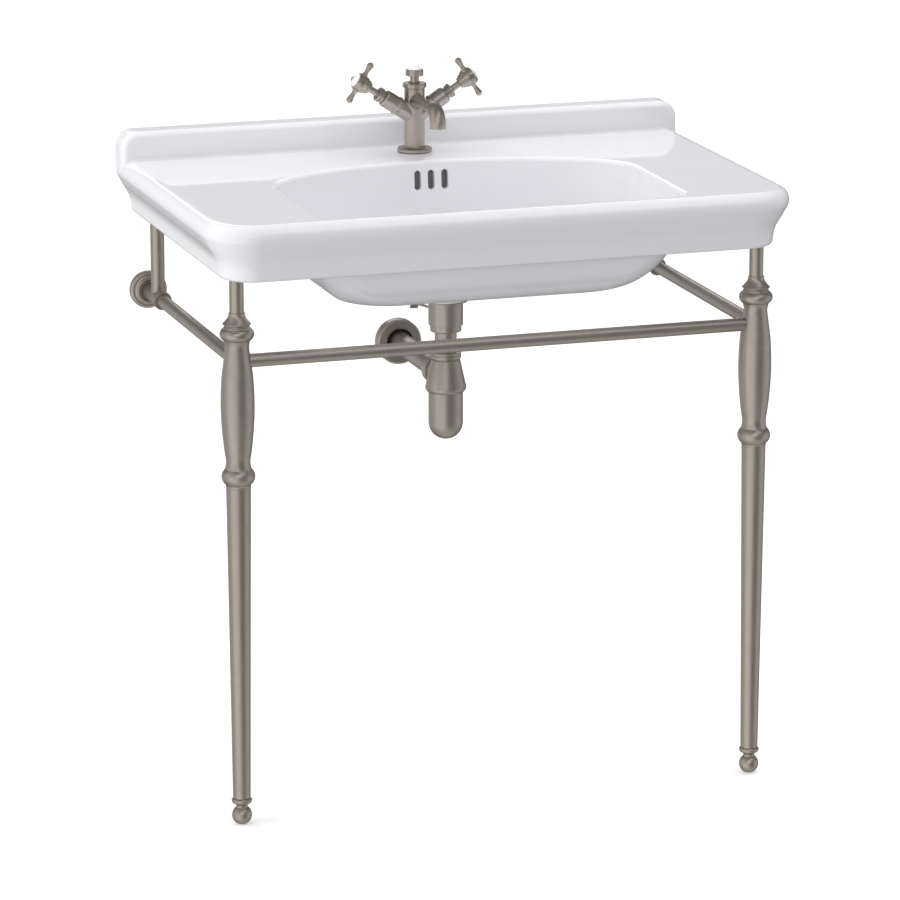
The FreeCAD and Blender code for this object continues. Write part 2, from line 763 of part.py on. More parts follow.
def waste_body():
    """The pop-up waste's lower body: a sleeve with a flange, a tail and the lever's side port."""
    body = rod(waste_body_radius, body_foot, washer_foot)
    body = body.fuse(rod(waste_body_flange_radius, washer_foot - waste_body_flange, washer_foot))
    body = body.fuse(rod(waste_tail_radius, tail_foot, body_foot + 1))
    port = placed(rod(8.5, 0, ball_from_axis + 7), V(0, 0, pivot_height), TO_WALL)
    body = body.fuse(port)
    thread_foot = seat_height - waste_tube_length - gap
    body = body.cut(rod(waste_tube_radius + fit, thread_foot, washer_foot + 1))
    body = body.cut(rod(waste_bore_radius, tail_foot - 1, washer_foot))
    seat = placed(rod(ball_radius + gap, ball_from_axis - 4.6, ball_from_axis + 12),
                  V(0, 0, pivot_height), TO_WALL)
    throat = placed(rod(3.7, 10, ball_from_axis), V(0, 0, pivot_height), TO_WALL)
    return at_waste(body.cut(seat).cut(throat))


def lever_nut():
    """The cap nut that holds the lever's ball in the side port."""
    start = ball_from_axis + 2.5
    body = rod(10.6, start, ball_from_axis + 10)
    for step in range(6):
        flat = Part.makeBox(30, 30, 20, V(9.6, -15, start - 1))
        flat.rotate(V(0, 0, 0), UP, 60 * step)
        body = body.cut(flat)
    body = body.cut(rod(8.5 + fit, start - 1, ball_from_axis + 7 + gap))
    body = body.cut(rod(3.9, start, ball_from_axis + 20))
    return at_waste(placed(body, V(0, 0, pivot_height), TO_WALL))


def lever():
    """The pivot ball and its rod, at rest with the outer end low and the plug up."""
    outer = lever_outer_reach() + 8
    body = Part.makeSphere(ball_radius)
    arm = placed(rod(lever_radius, -lever_inner_reach, outer), V(0, 0, 0), TO_WALL)
    body = body.fuse(arm)
    body.rotate(V(0, 0, 0), RIGHT, -lever_angle)
    return placed(body, V(0, from_wall(waste_from_wall - ball_from_axis), pivot_height))


def lever_outer_reach():
    """From the pivot to the middle of the strap, which hangs behind the lift rod."""
    strap_y = from_wall(tap_from_wall) + lift_rod_radius + strap_thickness / 2 + gap
    return strap_y - from_wall(waste_from_wall - ball_from_axis)


def knob_travel():
    return 2 * lever_outer_reach() * math.tan(math.radians(lever_angle))


def popup_plug():
    """The domed plug with guide fins and a stem, raised by the lever at rest."""
    low = seat_height + waste_flange_thickness - 1.6 + 1.2 + plug_travel
    eye = pivot_height + lever_rise
    body = turned(
        (plug_radius - 1.0, low),
        ("arc", (plug_radius, low + 0.9), (plug_radius - 0.8, low + plug_thickness * 0.6)),
        dome(plug_radius - 0.8, low + plug_thickness * 0.6, low + plug_thickness + 2.2),
    )
    fin_top = low + 0.5
    fin_foot = eye + 14
    reach = waste_bore_radius - 2 * gap
    for turn in (0, 90):
        fin = Part.makeBox(2 * reach, 2, fin_top - fin_foot, V(-reach, -1, fin_foot))
        fin.rotate(V(0, 0, 0), UP, turn)
        body = body.fuse(fin)
    body = body.fuse(rod(plug_stem_radius, eye - 5, fin_top))
    hole = placed(rod(2.9, -10, 10), V(0, 0, eye), TO_WALL)
    return at_waste(body.cut(hole))


def plug_seal():
    """The soft ring under the plug's edge."""
    low = seat_height + waste_flange_thickness - 1.6 + 1.2 + plug_travel
    return at_waste(tube(plug_radius - 1.4, waste_bore_radius, low - 1.0, low))


def trap_inlet_tube():
    """The pipe from the waste down into the bottle, with a flange under the waste's tail."""
    top = tail_foot - 0.1
    body = rod(pipe_radius, top - dip_tube_length, top)
    body = body.fuse(rod(waste_tail_radius - 0.5, top - 1.8, top))
    return at_waste(body.cut(rod(pipe_radius - pipe_wall, top - dip_tube_length - 1, top + 1)))


def trap_inlet_nut():
    top = body_foot
    body = turned(
        (collar_radius, top),
        ("line", (collar_radius, collar_foot + 1.4), (collar_radius - 1.4, collar_foot)),
    )
    body = body.cut(rod(waste_tail_radius + fit, collar_foot + 2, top + 1))
    return at_waste(body.cut(rod(pipe_radius + fit, collar_foot - 1, top + 1)))


def trap_top_nut():
    body = turned(
        (trap_nut_radius - 0.8, nut_top),
        ("line", (trap_nut_radius, nut_top - 0.8), (trap_nut_radius, nut_top - 3.2),
         (trap_nut_radius - 0.9, nut_top - 3.8), (trap_nut_radius - 0.9, nut_top - 4.6),
         (trap_nut_radius, nut_top - 5.2), (trap_nut_radius, nut_foot + 0.8),
         (trap_nut_radius - 0.8, nut_foot)),
    )
    body = body.cut(rod(trap_neck_radius + fit, nut_foot - 1, nut_top - 2.2))
    return at_waste(body.cut(rod(pipe_radius + fit, nut_foot - 1, nut_top + 1)))


def trap_body():
    """The cone of the trap, with a neck for the inlet pipe and a branch for the outlet."""
    chamfer = trap_cone_chamfer
    body = turned(
        (trap_cone_top_radius - 0.8, cone_top),
        ("line", (trap_cone_top_radius, cone_top - 1.0),
         (trap_cone_radius, cone_foot + 2 * chamfer),
         (trap_cone_radius - 0.6, cone_foot + chamfer),
         (trap_cone_radius - chamfer, cone_foot)),
    )
    body = body.fuse(rod(trap_neck_radius, cone_top - 1, nut_top - 3.2))
    branch = placed(rod(outlet_neck_radius, 0, outlet_nut_start + outlet_nut_length - 5.0),
                    V(0, 0, outlet_height), TO_WALL)
    body = body.fuse(branch)
    inner_top = cone_top - 5
    body = body.cut(rod(bottle_radius + fit, cone_foot - 1, cone_foot + bottle_engagement + 0.6))
    body = body.cut(turned((bottle_radius - 2, cone_foot + bottle_engagement),
                           ("line", (trap_cone_top_radius - 3.0, inner_top))))
    body = body.cut(rod(pipe_radius + fit, inner_top - 1, nut_top + 1))
    bore = placed(rod(outlet_bore_radius, pipe_radius + 3, 60), V(0, 0, outlet_height), TO_WALL)
    return at_waste(body.cut(bore))


def trap_bottle():
    """The removable cup of the trap, with a round bottom."""
    top = cone_foot + bottle_engagement
    centre = cone_foot - bottle_drop + bottle_radius
    slant = math.sqrt(0.5)
    outer = turned(
        (bottle_radius, top),
        ("line", (bottle_radius, centre)),
        ("arc", (bottle_radius * slant, centre - bottle_radius * slant), (0, centre - bottle_radius)),
    )
    inner_radius = bottle_radius - bottle_wall
    inner = turned(
        (inner_radius, top + 1),
        ("line", (inner_radius, centre)),
        ("arc", (inner_radius * slant, centre - inner_radius * slant), (0, centre - inner_radius)),
    )
    return at_waste(outer.cut(inner))


def trap_seals():
    """The soft rings at the top nut, the bottle's rim and the outlet nut."""
    top_ring = tube(trap_neck_radius - 0.3, pipe_radius + fit, nut_top - 3.1, nut_top - 2.3)
    rim = cone_foot + bottle_engagement
    rim_ring = tube(bottle_radius - 0.2, bottle_radius - bottle_wall, rim, rim + 0.5)
    branch_end = outlet_nut_start + outlet_nut_length - 5.0
    outlet_ring = placed(tube(outlet_neck_radius - 0.5, outlet_bore_radius, branch_end,
                              branch_end + 0.9), V(0, 0, outlet_height), TO_WALL)
    return at_waste(Part.makeCompound([top_ring, rim_ring, outlet_ring]))


def outlet_nut():
    end = outlet_nut_start + outlet_nut_length
    body = turned(
        (trap_nut_radius - 0.8, outlet_nut_start),
        ("line", (trap_nut_radius, outlet_nut_start + 0.8), (trap_nut_radius, end - 5.4),
         (trap_nut_radius - 0.9, end - 4.8), (trap_nut_radius - 0.9, end - 4.0),
         (trap_nut_radius, end - 3.4), (trap_nut_radius, end - 0.8), (trap_nut_radius - 0.8, end)),
    )
    body = body.cut(rod(outlet_neck_radius + fit, outlet_nut_start - 1, end - 2))
    body = body.cut(rod(pipe_radius + fit, outlet_nut_start, end + 1))
    return at_waste(placed(body, V(0, 0, outlet_height), TO_WALL))


def wall_pipe():
    """The waste pipe from the trap to the wall, with a flange inside the outlet nut."""
    start = outlet_nut_start + outlet_nut_length - 4.0
    body = rod(pipe_radius, start, waste_from_wall)
    body = body.fuse(rod(outlet_neck_radius - 0.5, start, start + 1.8))
    body = body.cut(rod(pipe_radius - pipe_wall, start - 1, waste_from_wall + 1))
    return at_waste(placed(body, V(0, 0, outlet_height), TO_WALL))


def pipe_rose():
    """The thick round cover where the waste pipe meets the wall. Its own Z leaves the wall."""
    body = turned(
        (rose_radius, 0),
        ("line", (rose_radius, rose_depth - 3.5)),
        ("arc", (rose_radius - 1.0, rose_depth - 1.0), (rose_radius - 3.5, rose_depth)),
        ("line", (rose_bore_radius + 0.8, rose_depth)),
        ("line", (rose_bore_radius, rose_depth - 0.8)),
    )
    body = body.cut(rod(rose_bore_radius, -1, rose_depth + 1))
    return placed(body, V(0, wall_y, outlet_height), TO_USER)


def rose_seal():
    """The dark ring that centres the pipe in its cover."""
    body = tube(rose_bore_radius - 0.1, pipe_radius + 0.1, 3, rose_depth - 4.5)
    return placed(body, V(0, wall_y, outlet_height), TO_USER)


def waste():
    keep("waste_flange", waste_flange())
    keep("waste_washer", waste_washer())
    keep("waste_body", waste_body())
    keep("lever_nut", lever_nut())
    keep("popup_lever", lever())
    keep("popup_plug", popup_plug())
    keep("plug_seal", plug_seal())
    keep("trap_inlet_tube", trap_inlet_tube())
    keep("trap_inlet_nut", trap_inlet_nut())
    keep("trap_top_nut", trap_top_nut())
    keep("trap_body", trap_body())
    keep("trap_bottle", trap_bottle())
    keep("trap_seals", trap_seals())
    keep("outlet_nut", outlet_nut())
    keep("wall_pipe", wall_pipe())
    keep("pipe_rose", pipe_rose())
    keep("pipe_rose_seal", rose_seal())


# ---------------------------------------------------------------- tap
def at_tap(shape):
    return placed(shape, V(0, from_wall(tap_from_wall), rim_height))


def arm_axis(side):
    lift = math.radians(arm_angle)
    return V(side * math.cos(lift), 0, math.sin(lift))


def on_arm(shape, side):
    """A shape made on Z, moved to a valve's axis, still relative to the deck."""
    return placed(shape, V(0, 0, arm_height), arm_axis(side))


def tap_body():
    """The cast body: base, column, two valve arms and the mixing chamber inside."""
    low = tap_seal
    body = turned(
        (tap_spigot_radius, -tap_spigot_length),
        ("line", (tap_spigot_radius, low), (tap_base_radius, low),
         (tap_base_radius, low + tap_base_height - 1.6)),
        ("arc", (tap_base_radius - 0.5, low + tap_base_height - 0.5),
         (tap_base_radius - 1.8, low + tap_base_height)),
        ("line", (tap_body_radius + 4.2, low + tap_base_height)),
        ("arc", (tap_body_radius + 1.2, low + tap_base_height + 1.2),
         (tap_body_radius, low + tap_base_height + 4.2)),
        ("line", (tap_body_radius, tap_body_top)),
    )
    for side in (-1, 1):
        arm = turned((arm_radius, 0), ("line", (arm_end_radius, arm_length)))
        body = body.fuse(on_arm(arm, side))
    root = spout_root(0)
    body = body.fuse(root)
    body = body.cut(rod(chamber_radius, arm_height + 8, tap_body_top + 1))
    body = body.cut(rod(lift_rod_radius + gap, -tap_spigot_length - 1, arm_height + 10))
    body = body.cut(rod(stem_radius + gap, stem_foot - gap, arm_height + 10))
    for side in (-1, 1):
        seat = rod(cartridge_radius + fit, cartridge_start, arm_length + 1)
        body = body.cut(on_arm(seat, side))
        way = rod(3.5, 4, cartridge_start + 1)
        body = body.cut(on_arm(way, side))
        inlet = rod(inlet_radius, -tap_spigot_length - 1, 10)
        body = body.cut(inlet.translated(V(side * inlet_spacing / 2, 0, 0)))
        riser = rod(3.2, 9, arm_height + 6)
        body = body.cut(riser.translated(V(side * inlet_spacing / 2, 0, 0)))
    water = Part.makeCylinder(spout_radius - spout_wall, 30, V(0, -chamber_radius + 2, spout_height),
                              TO_USER)
    body = body.cut(water)
    stud = rod(stud_radius + fit, -tap_spigot_length - 1, low + tap_base_height - 1.5)
    return at_tap(body.cut(stud.translated(V(0, -stud_offset, 0))))


def spout_section(half_width, half_height, y, height):
    """An upright oval across the spout's level run."""
    tall = half_height > half_width
    if abs(half_height - half_width) < 1e-6:
        curve = Part.Circle(V(0, y, height), TO_USER, half_width)
        return Part.Wire([curve.toShape()])
    wide_end = V(half_width, y, height)
    tall_end = V(0, y, height + half_height)
    if tall:
        curve = Part.Ellipse(tall_end, wide_end, V(0, y, height))
    else:
        curve = Part.Ellipse(wide_end, tall_end, V(0, y, height))
    return Part.Wire([curve.toShape()])


def spout_root(shrink):
    """The flared root of the spout, from inside the body to the start of the level tube."""
    start = -tap_body_radius + 5
    rows = [
        (spout_root_half_width, spout_root_half_height, start, spout_height - 4.5),
        (spout_root_half_width - 0.6, spout_root_half_height - 1.2, start - 5, spout_height - 4.0),
        (spout_root_half_width - 2.2, spout_root_half_height - 5.0, start - 13, spout_height - 1.6),
        (spout_radius + 0.3, spout_radius + 0.4, start - 24, spout_height - 0.1),
    ]
    wires = [spout_section(w - shrink, h - shrink, y, z) for w, h, y, z in rows]
    return Part.makeLoft(wires, True, False)


def spout_line():
    """The spout's centre line: level out of the root, round the bend and down to the mouth."""
    start = V(0, -tap_body_radius - 19, spout_height)
    bend_start = V(0, -spout_reach + spout_bend, spout_height)
    slant = spout_bend * math.sqrt(0.5)
    centre = V(0, bend_start.y, spout_height - spout_bend)
    middle = V(0, centre.y - slant, centre.z + slant)
    bend_end = V(0, -spout_reach, centre.z)
    mouth = V(0, -spout_reach, spout_mouth_height)
    return start, bend_start, middle, bend_end, mouth, centre


def spout_tube(shrink):
    """The spout as a loft of rings along its centre line, widening to the mouth."""
    start, bend_start, middle, bend_end, mouth, centre = spout_line()
    level = abs(bend_start.y - start.y)
    turn_length = spout_bend * math.pi / 2
    whole = level + turn_length + (bend_end.z - mouth.z)

    def radius(distance):
        share = max(0.0, (distance - 0.4 * level) / (whole - 0.4 * level))
        swell = (spout_mouth_radius - spout_radius) * math.sin(share * math.pi / 2)
        return spout_radius + swell - shrink

    rings = []
    for share in (0.0, 0.5, 1.0):
        point = start + (bend_start - start) * share
        rings.append((point, TO_USER, level * share))
    for degrees in (30, 60, 90):
        turn = math.radians(degrees)
        point = centre + V(0, -spout_bend * math.sin(turn), spout_bend * math.cos(turn))
        axis = V(0, -math.cos(turn), -math.sin(turn))
        rings.append((point, axis, level + spout_bend * turn))
    rings.append((mouth, DOWN, whole))
    wires = [Part.Wire([Part.Circle(point, axis, radius(at)).toShape()]) for point, axis, at in rings]
    return Part.makeLoft(wires, True, False)


def spout():
    """The curved water outlet, brazed onto the root that stands out of the body."""
    body = spout_tube(0).cut(spout_tube(spout_wall))
    seat = rod(spout_mouth_radius - 0.9, spout_mouth_height - 1, spout_mouth_height + aerator_height)
    body = body.cut(seat.translated(V(0, -spout_reach, 0)))
    return at_tap(body)


def aerator():
    """The flow straightener in the spout's mouth: a ring with a cross inside."""
    low = spout_mouth_height + 1.2
    high = spout_mouth_height + aerator_height
    outer = spout_mouth_radius - 0.9 - fit
    body = tube(outer, outer - 1.6, low, high)
    for turn in (0, 60, 120):
        blade = Part.makeBox(2 * outer - 2, 1.0, high - low - 3, V(-outer + 1, -0.5, low + 2))
        blade.rotate(V(0, 0, 0), UP, turn)
        body = body.fuse(blade)
    return at_tap(body.translated(V(0, -spout_reach, 0)))


def tap_cap():
    """The round cap that closes the body and guides the lifting knob's stem."""
    low = tap_body_top
    high = low + cap_height
    body = turned(
        (cap_radius - 0.8, low),
        ("line", (cap_radius, low + 0.8), (cap_radius, high - 0.8), (cap_radius - 0.8, high),
         (stem_radius + 2.6, high), (stem_radius + 2.0, high - 1.8)),
    )
    body = body.fuse(rod(chamber_radius - fit, low - 7, low + 1))
    return at_tap(body.cut(rod(stem_radius + running, low - 8, high + 1)))


def lift_rod():
    """The knob's stem and the thin rod below it, in one piece."""
    body = rod(stem_radius, stem_foot, knob_foot + 2)
    return at_tap(body.fuse(rod(lift_rod_radius, -lift_rod_foot, stem_foot + 1)))


def lift_knob():
    top = knob_foot + knob_height
    body = turned(
        (knob_radius - 1.4, knob_foot),
        ("arc", (knob_radius - 0.4, knob_foot + 0.4), (knob_radius, knob_foot + 1.4)),
        ("line", (knob_radius, top - 1.0)),
        ("arc", (knob_radius - 0.3, top - 0.3), (knob_radius - 1.0, top)),
    )
    body = body.cut(rod(button_radius + fit, top - 2.5, top + 1))
    return at_tap(body.cut(rod(stem_radius + fit, knob_foot - 1, knob_foot + 2 + fit)))


def knob_button():
    """The domed white insert on top of the knob."""
    top = knob_foot + knob_height
    body = turned(
        (button_radius, top - 2.5),
        ("line", (button_radius, top + 0.4)),
        dome(button_radius, top + 0.4, top + button_rise),
    )
    return at_tap(body)


def bonnet(side):
    """A valve's cover: a ring against the arm, a barrel and a thin neck for the gland nut."""
    start = arm_length
    ring_end = start + collar_ring_length
    end = ring_end + bonnet_length
    body = turned(
        (collar_ring_radius - 0.9, start),
        ("arc", (collar_ring_radius, start + collar_ring_length / 2),
         (collar_ring_radius - 0.9, ring_end)),
        ("line", (bonnet_radius, ring_end), (bonnet_radius, end - bonnet_edge)),
        ("arc", (bonnet_radius - bonnet_edge * 0.3, end - bonnet_edge * 0.3),
         (bonnet_radius - bonnet_edge, end)),
        ("line", (bonnet_neck_radius, end), (bonnet_neck_radius, end + bonnet_neck_length)),
    )
    body = body.cut(rod(cartridge_radius + fit, start - 1, cartridge_start + cartridge_length + 1))
    body = body.cut(rod(spindle_radius + running, start, end + 20))
    return at_tap(on_arm(body, side))


def cartridges():
    """The two ceramic-disc valve cartridges inside the arms."""
    bodies = []
    for side in (-1, 1):
        body = rod(cartridge_radius, cartridge_start, cartridge_start + cartridge_length)
        body = body.cut(rod(spindle_radius + gap, cartridge_start + 6, 80))
        bodies.append(at_tap(on_arm(body, side)))
    return Part.makeCompound(bodies)


def gland_nuts():
    nuts = []
    end = gland_start + gland_length
    for side in (-1, 1):
        body = turned(
            (gland_radius - 1.0, gland_start),
            ("line", (gland_radius - 0.2, gland_start + 0.8), (gland_radius - 0.2, gland_start + 1.8),
             (gland_radius - 1.4, gland_start + 2.4), (gland_radius - 1.4, gland_start + 3.0),
             (gland_radius, gland_start + 3.6), (gland_radius, end - 1.0), (gland_radius - 1.0, end)),
        )
        body = body.cut(rod(bonnet_neck_radius + fit, gland_start - 1,
                            arm_length + collar_ring_length + bonnet_length + bonnet_neck_length + 0.2))
        body = body.cut(rod(spindle_radius + running, gland_start, end + 1))
        nuts.append(at_tap(on_arm(body, side)))
    return Part.makeCompound(nuts)


def spindle(side):
    body = rod(spindle_radius, cartridge_start + 6 + gap, hub_start + 14)
    return at_tap(on_arm(body, side))


def handle_arm():
    """One arm of a cross handle, made on Z: a tapered neck with a ball at the tip."""
    ball = handle_reach - handle_ball_radius
    join = math.radians(25)
    join_radius = handle_ball_radius * math.cos(join)
    join_reach = ball - handle_ball_radius * math.sin(join)
    return turned(
        (handle_root_radius + 0.9, hub_radius - 4),
        ("line", (handle_root_radius + 0.9, hub_radius + 0.3)),
        ("curve", (handle_root_radius - 1.0, hub_radius + 2.4), (handle_neck_radius, hub_radius + 6.2),
         (handle_neck_radius + 0.5, hub_radius + 10.0), (join_radius, join_reach)),
        dome(join_radius, join_reach, handle_reach),
    )


def handle(side):
    """A cross handle: stepped hub and four ball-ended arms."""
    body = turned(
        (8.4, hub_start),
        ("line", (8.4, hub_start + 3.4), (10.5, hub_start + 3.4), (10.5, hub_start + 7.4),
         (hub_radius - 0.8, hub_start + 7.4), (hub_radius, hub_start + 8.2), (hub_radius, hub_end - 0.8),
         (hub_radius - 0.8, hub_end)),
    )
    for turn in (0, 90, 180, 270):
        arm = handle_arm()
        arm.rotate(V(0, 0, 0), TO_WALL, 90)
        arm.rotate(V(0, 0, 0), UP, turn)
        body = body.fuse(arm.translated(V(0, 0, handle_axis)))
    body = body.cut(rod(spindle_radius + fit, hub_start - 1, hub_start + 14 + fit))
    body = body.cut(rod(index_radius + fit, hub_end - 3, hub_end + 1))
    return at_tap(on_arm(body, side))


def index(side):
    """The domed ceramic button in a handle's hub."""
    body = turned(
        (index_radius, hub_end - 3),
        ("line", (index_radius, hub_end + 0.4)),
        dome(index_radius, hub_end + 0.4, hub_end + index_rise),
    )
    return at_tap(on_arm(body, side))


def tap_base_seal():
    return at_tap(tube(tap_base_radius - 1.5, tap_spigot_radius + fit, 0, tap_seal))


def horseshoe(high, thickness, radius):
    """A round plate under the deck, open behind for the tap's tails and the lift rod."""
    plate = rod(radius, high - thickness, high)
    plate = plate.cut(Part.makeBox(28, 60, thickness + 2, V(-14, -6, high - thickness - 1)))
    stud_hole = rod(stud_radius + fit, high - thickness - 1, high + 1)
    return plate.cut(stud_hole.translated(V(0, -stud_offset, 0)))


def clamp_stack():
    """The plate, the stud and the nut that pull the tap down onto the deck."""
    under = -deck_thickness
    keep("tap_clamp_plate", at_tap(horseshoe(under, clamp_thickness, clamp_radius)))
    nut_high = under - clamp_thickness
    stud = rod(stud_radius, nut_high - nut_height - 12, tap_seal + tap_base_height - 2)
    keep("tap_stud", at_tap(stud.translated(V(0, -stud_offset, 0))))
    corner = nut_across_flats / math.sqrt(3)
    points = [V(corner * math.cos(math.radians(60 * step)), corner * math.sin(math.radians(60 * step)),
                nut_high - nut_height) for step in range(7)]
    nut = Part.Face(Part.makePolygon(points)).extrude(V(0, 0, nut_height))
    nut = nut.cut(rod(stud_radius + fit, nut_high - nut_height - 1, nut_high + 1))
    keep("tap_nut", at_tap(nut.translated(V(0, -stud_offset, 0))))


def linkage_strap():
    """The flat strap behind the lift rod, with the clevis block that the rod is clamped in."""
    back = lift_rod_radius + gap
    top = -strap_drop
    low = pivot_height - lever_rise_at_strap() - 8 - rim_height
    strap = Part.makeBox(strap_width, strap_thickness, top - low, V(-strap_width / 2, back, low))
    block = Part.makeBox(strap_width, back + strap_thickness + 6.5, 10,
                         V(-strap_width / 2, -6.5, top - 10))
    body = strap.fuse(block)
    body = body.cut(rod(lift_rod_radius + fit, low, top + 1))
    hole_height = pivot_height - lever_rise_at_strap() - rim_height
    for step in (0, 1, 2, 3):
        hole = Part.makeCylinder(lever_radius + 0.6, 20, V(0, 0, hole_height + step * 9), TO_WALL)
        body = body.cut(hole)
    screw = Part.makeCylinder(2.0 + fit, 8, V(0, -8, top - 5), TO_WALL)
    return at_tap(body.cut(screw))


def lever_rise_at_strap():
    return lever_outer_reach() * math.tan(math.radians(lever_angle))


def strap_screw():
    """The thumb screw that clamps the lift rod in the strap's block."""
    height = -strap_drop - 5
    shank = Part.makeCylinder(2.0, 6, V(0, -8.4, height), TO_WALL)
    head = Part.makeCylinder(5.0, 5, V(0, -13.0, height), TO_WALL)
    return at_tap(head.fuse(shank))


def tap():
    keep("tap_body", tap_body())
    keep("tap_spout", spout())
    keep("tap_aerator", aerator())
    keep("tap_cap", tap_cap())
    keep("tap_base_seal", tap_base_seal())
    clamp_stack()
    keep("lift_rod", lift_rod())
    keep("lift_knob", lift_knob())
    keep("knob_button", knob_button())
    keep("linkage_strap", linkage_strap())
    keep("strap_screw", strap_screw())
    keep("valve_cartridges", cartridges())
    keep("gland_nuts", gland_nuts())
    for side, name in ((-1, "hot"), (1, "cold")):
        keep(name + "_bonnet", bonnet(side))
        keep(name + "_spindle", spindle(side))
        keep(name + "_handle", handle(side))
        keep(name + "_index", index(side))


basin()
stand()
waste()
tap()

os.makedirs("parts", exist_ok=True)
for node, shape in pieces.items():
    shape.exportStep("parts/" + node + ".step")
print(len(pieces), "pieces; knob travel", round(knob_travel(), 3), "lever angle", round(lever_angle, 4))
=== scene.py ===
"""The looks of a console sink: a glazed basin, turned nickel legs, rails, tap, waste and trap."""

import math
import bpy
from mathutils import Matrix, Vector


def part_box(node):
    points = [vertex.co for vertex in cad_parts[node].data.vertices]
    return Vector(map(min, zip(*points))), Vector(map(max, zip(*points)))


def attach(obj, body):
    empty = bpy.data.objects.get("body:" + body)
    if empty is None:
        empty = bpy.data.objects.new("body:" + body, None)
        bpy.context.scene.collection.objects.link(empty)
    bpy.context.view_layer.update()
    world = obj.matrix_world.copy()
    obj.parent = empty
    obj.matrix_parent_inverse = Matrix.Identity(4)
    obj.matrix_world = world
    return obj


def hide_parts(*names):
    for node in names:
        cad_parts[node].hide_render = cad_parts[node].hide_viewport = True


bl_info = {
    "name": "Console Sink",
    "version": (1, 0, 0),
    "blender": (4, 5, 0),
    "location": "View3D > Sidebar > Console Sink",
    "description": "Surfaces and finishes of a console sink over its packed solids",
    "category": "Object",
}

import bmesh
import bpy
import numpy as np
from mathutils import Vector

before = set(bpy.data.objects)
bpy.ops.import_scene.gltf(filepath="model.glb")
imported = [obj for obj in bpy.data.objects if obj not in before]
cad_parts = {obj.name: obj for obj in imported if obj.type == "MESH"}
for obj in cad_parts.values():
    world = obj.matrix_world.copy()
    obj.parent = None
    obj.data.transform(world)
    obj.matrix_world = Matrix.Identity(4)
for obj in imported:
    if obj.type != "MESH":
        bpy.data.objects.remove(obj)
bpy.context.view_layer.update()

MM = 0.001
TO_WALL, TO_ROOM, TO_RIGHT = (0, 1, 0), (0, -1, 0), (1, 0, 0)
BASIN_LOW, BASIN_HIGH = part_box("basin")
RAIL_LOW, RAIL_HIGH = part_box("front_rail")
FOOT_LOW, FOOT_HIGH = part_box("levelling_foot_right")
PIPE_LOW, PIPE_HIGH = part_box("wall_pipe")


# ---------------------------------------------------------------- settings
def length(name, description, default):
    """A length setting in metres."""
    return bpy.props.FloatProperty(
        name=name, description=description, default=default, min=0.0, unit="LENGTH", subtype="DISTANCE"
    )


def share(name, description, default):
    """A setting from 0 to 1."""
    return bpy.props.FloatProperty(
        name=name, description=description, default=default, min=0.0, max=1.0, subtype="FACTOR"
    )


def colour(name, description, default):
    """A colour setting."""
    return bpy.props.FloatVectorProperty(
        name=name, description=description, default=default, size=3, min=0.0, max=1.0, subtype="COLOR"
    )


def deck_height(sizes):
    """The deck's height above the floor, in metres."""
    return sizes.top - sizes.upstand


class ConsoleBasinSizes(bpy.types.PropertyGroup):
    """Sizes of the ceramic basin."""

    width: length("Width", "Widest line of the basin", BASIN_HIGH.x - BASIN_LOW.x)
    depth: length("Depth", "From the wall to the front of the rim", BASIN_HIGH.y - BASIN_LOW.y)
    top: length("Upstand top", "Height of the upstand's top above the floor", BASIN_HIGH.z)
    upstand: length("Upstand", "Height of the upstand above the deck", 0.041)
    apron: length("Apron", "Height of the rim below the deck", 0.081)
    corner: length("Corner", "Radius of the front corners in plan", 0.070)
    edge: length("Bowl edge", "Rounding between deck and bowl", 0.006)


class ConsoleStandSizes(bpy.types.PropertyGroup):
    """Places of the legs, the rails and the waste."""

    leg_x: length("Leg", "From the middle to a leg's axis", (FOOT_LOW.x + FOOT_HIGH.x) / 2)
    leg_out: length("Leg from wall", "From the wall to a front leg's axis", 0.485)
    rail_z: length("Rail", "Height of the rails' axes", (RAIL_LOW.z + RAIL_HIGH.z) / 2)
    waste_out: length("Waste from wall", "From the wall to the waste's axis", 0.237)
    outlet_z: length("Outlet", "Height of the waste pipe's axis", (PIPE_LOW.z + PIPE_HIGH.z) / 2)
    tap_out: length("Tap from wall", "From the wall to the tap's axis", 0.090)


class ConsoleFinishes(bpy.types.PropertyGroup):
    """Colours and gloss of the finishes."""

    glaze: colour("Glaze", "Colour of the glazed ceramic", (0.80, 0.80, 0.83))
    glaze_roughness: share("Glaze roughness", "Roughness of the glaze", 0.07)
    nickel: colour("Nickel", "Colour of the brushed nickel", (0.50, 0.458, 0.405))
    nickel_roughness: share("Nickel roughness", "Roughness of the brushed nickel", 0.36)
    floor: colour("Floor", "Colour of the floor", (0.90, 0.90, 0.90))


# ---------------------------------------------------------------- outlines
def arc_points(start, middle, end):
    """Points after start on the circle through three points, a step at least every 8 degrees."""
    (ax, ay), (bx, by), (cx, cy) = start, middle, end
    d = 2 * (ax * (by - cy) + bx * (cy - ay) + cx * (ay - by))
    a, b, c = ax * ax + ay * ay, bx * bx + by * by, cx * cx + cy * cy
    centre = np.array([(a * (by - cy) + b * (cy - ay) + c * (ay - by)) / d,
                       (a * (cx - bx) + b * (ax - cx) + c * (bx - ax)) / d])
    angles = [math.atan2(p[1] - centre[1], p[0] - centre[0]) for p in (start, middle, end)]
    full = 2 * math.pi
    way = (angles[1] - angles[0]) % full
    whole = (angles[2] - angles[0]) % full
    sweep = whole if way < whole else whole - full
    count = max(4, math.ceil(abs(sweep) / math.radians(8)))
    turn = angles[0] + sweep * np.arange(1, count + 1) / count
    radius = math.hypot(ax - centre[0], ay - centre[1])
    return centre + radius * np.stack([np.cos(turn), np.sin(turn)], -1)


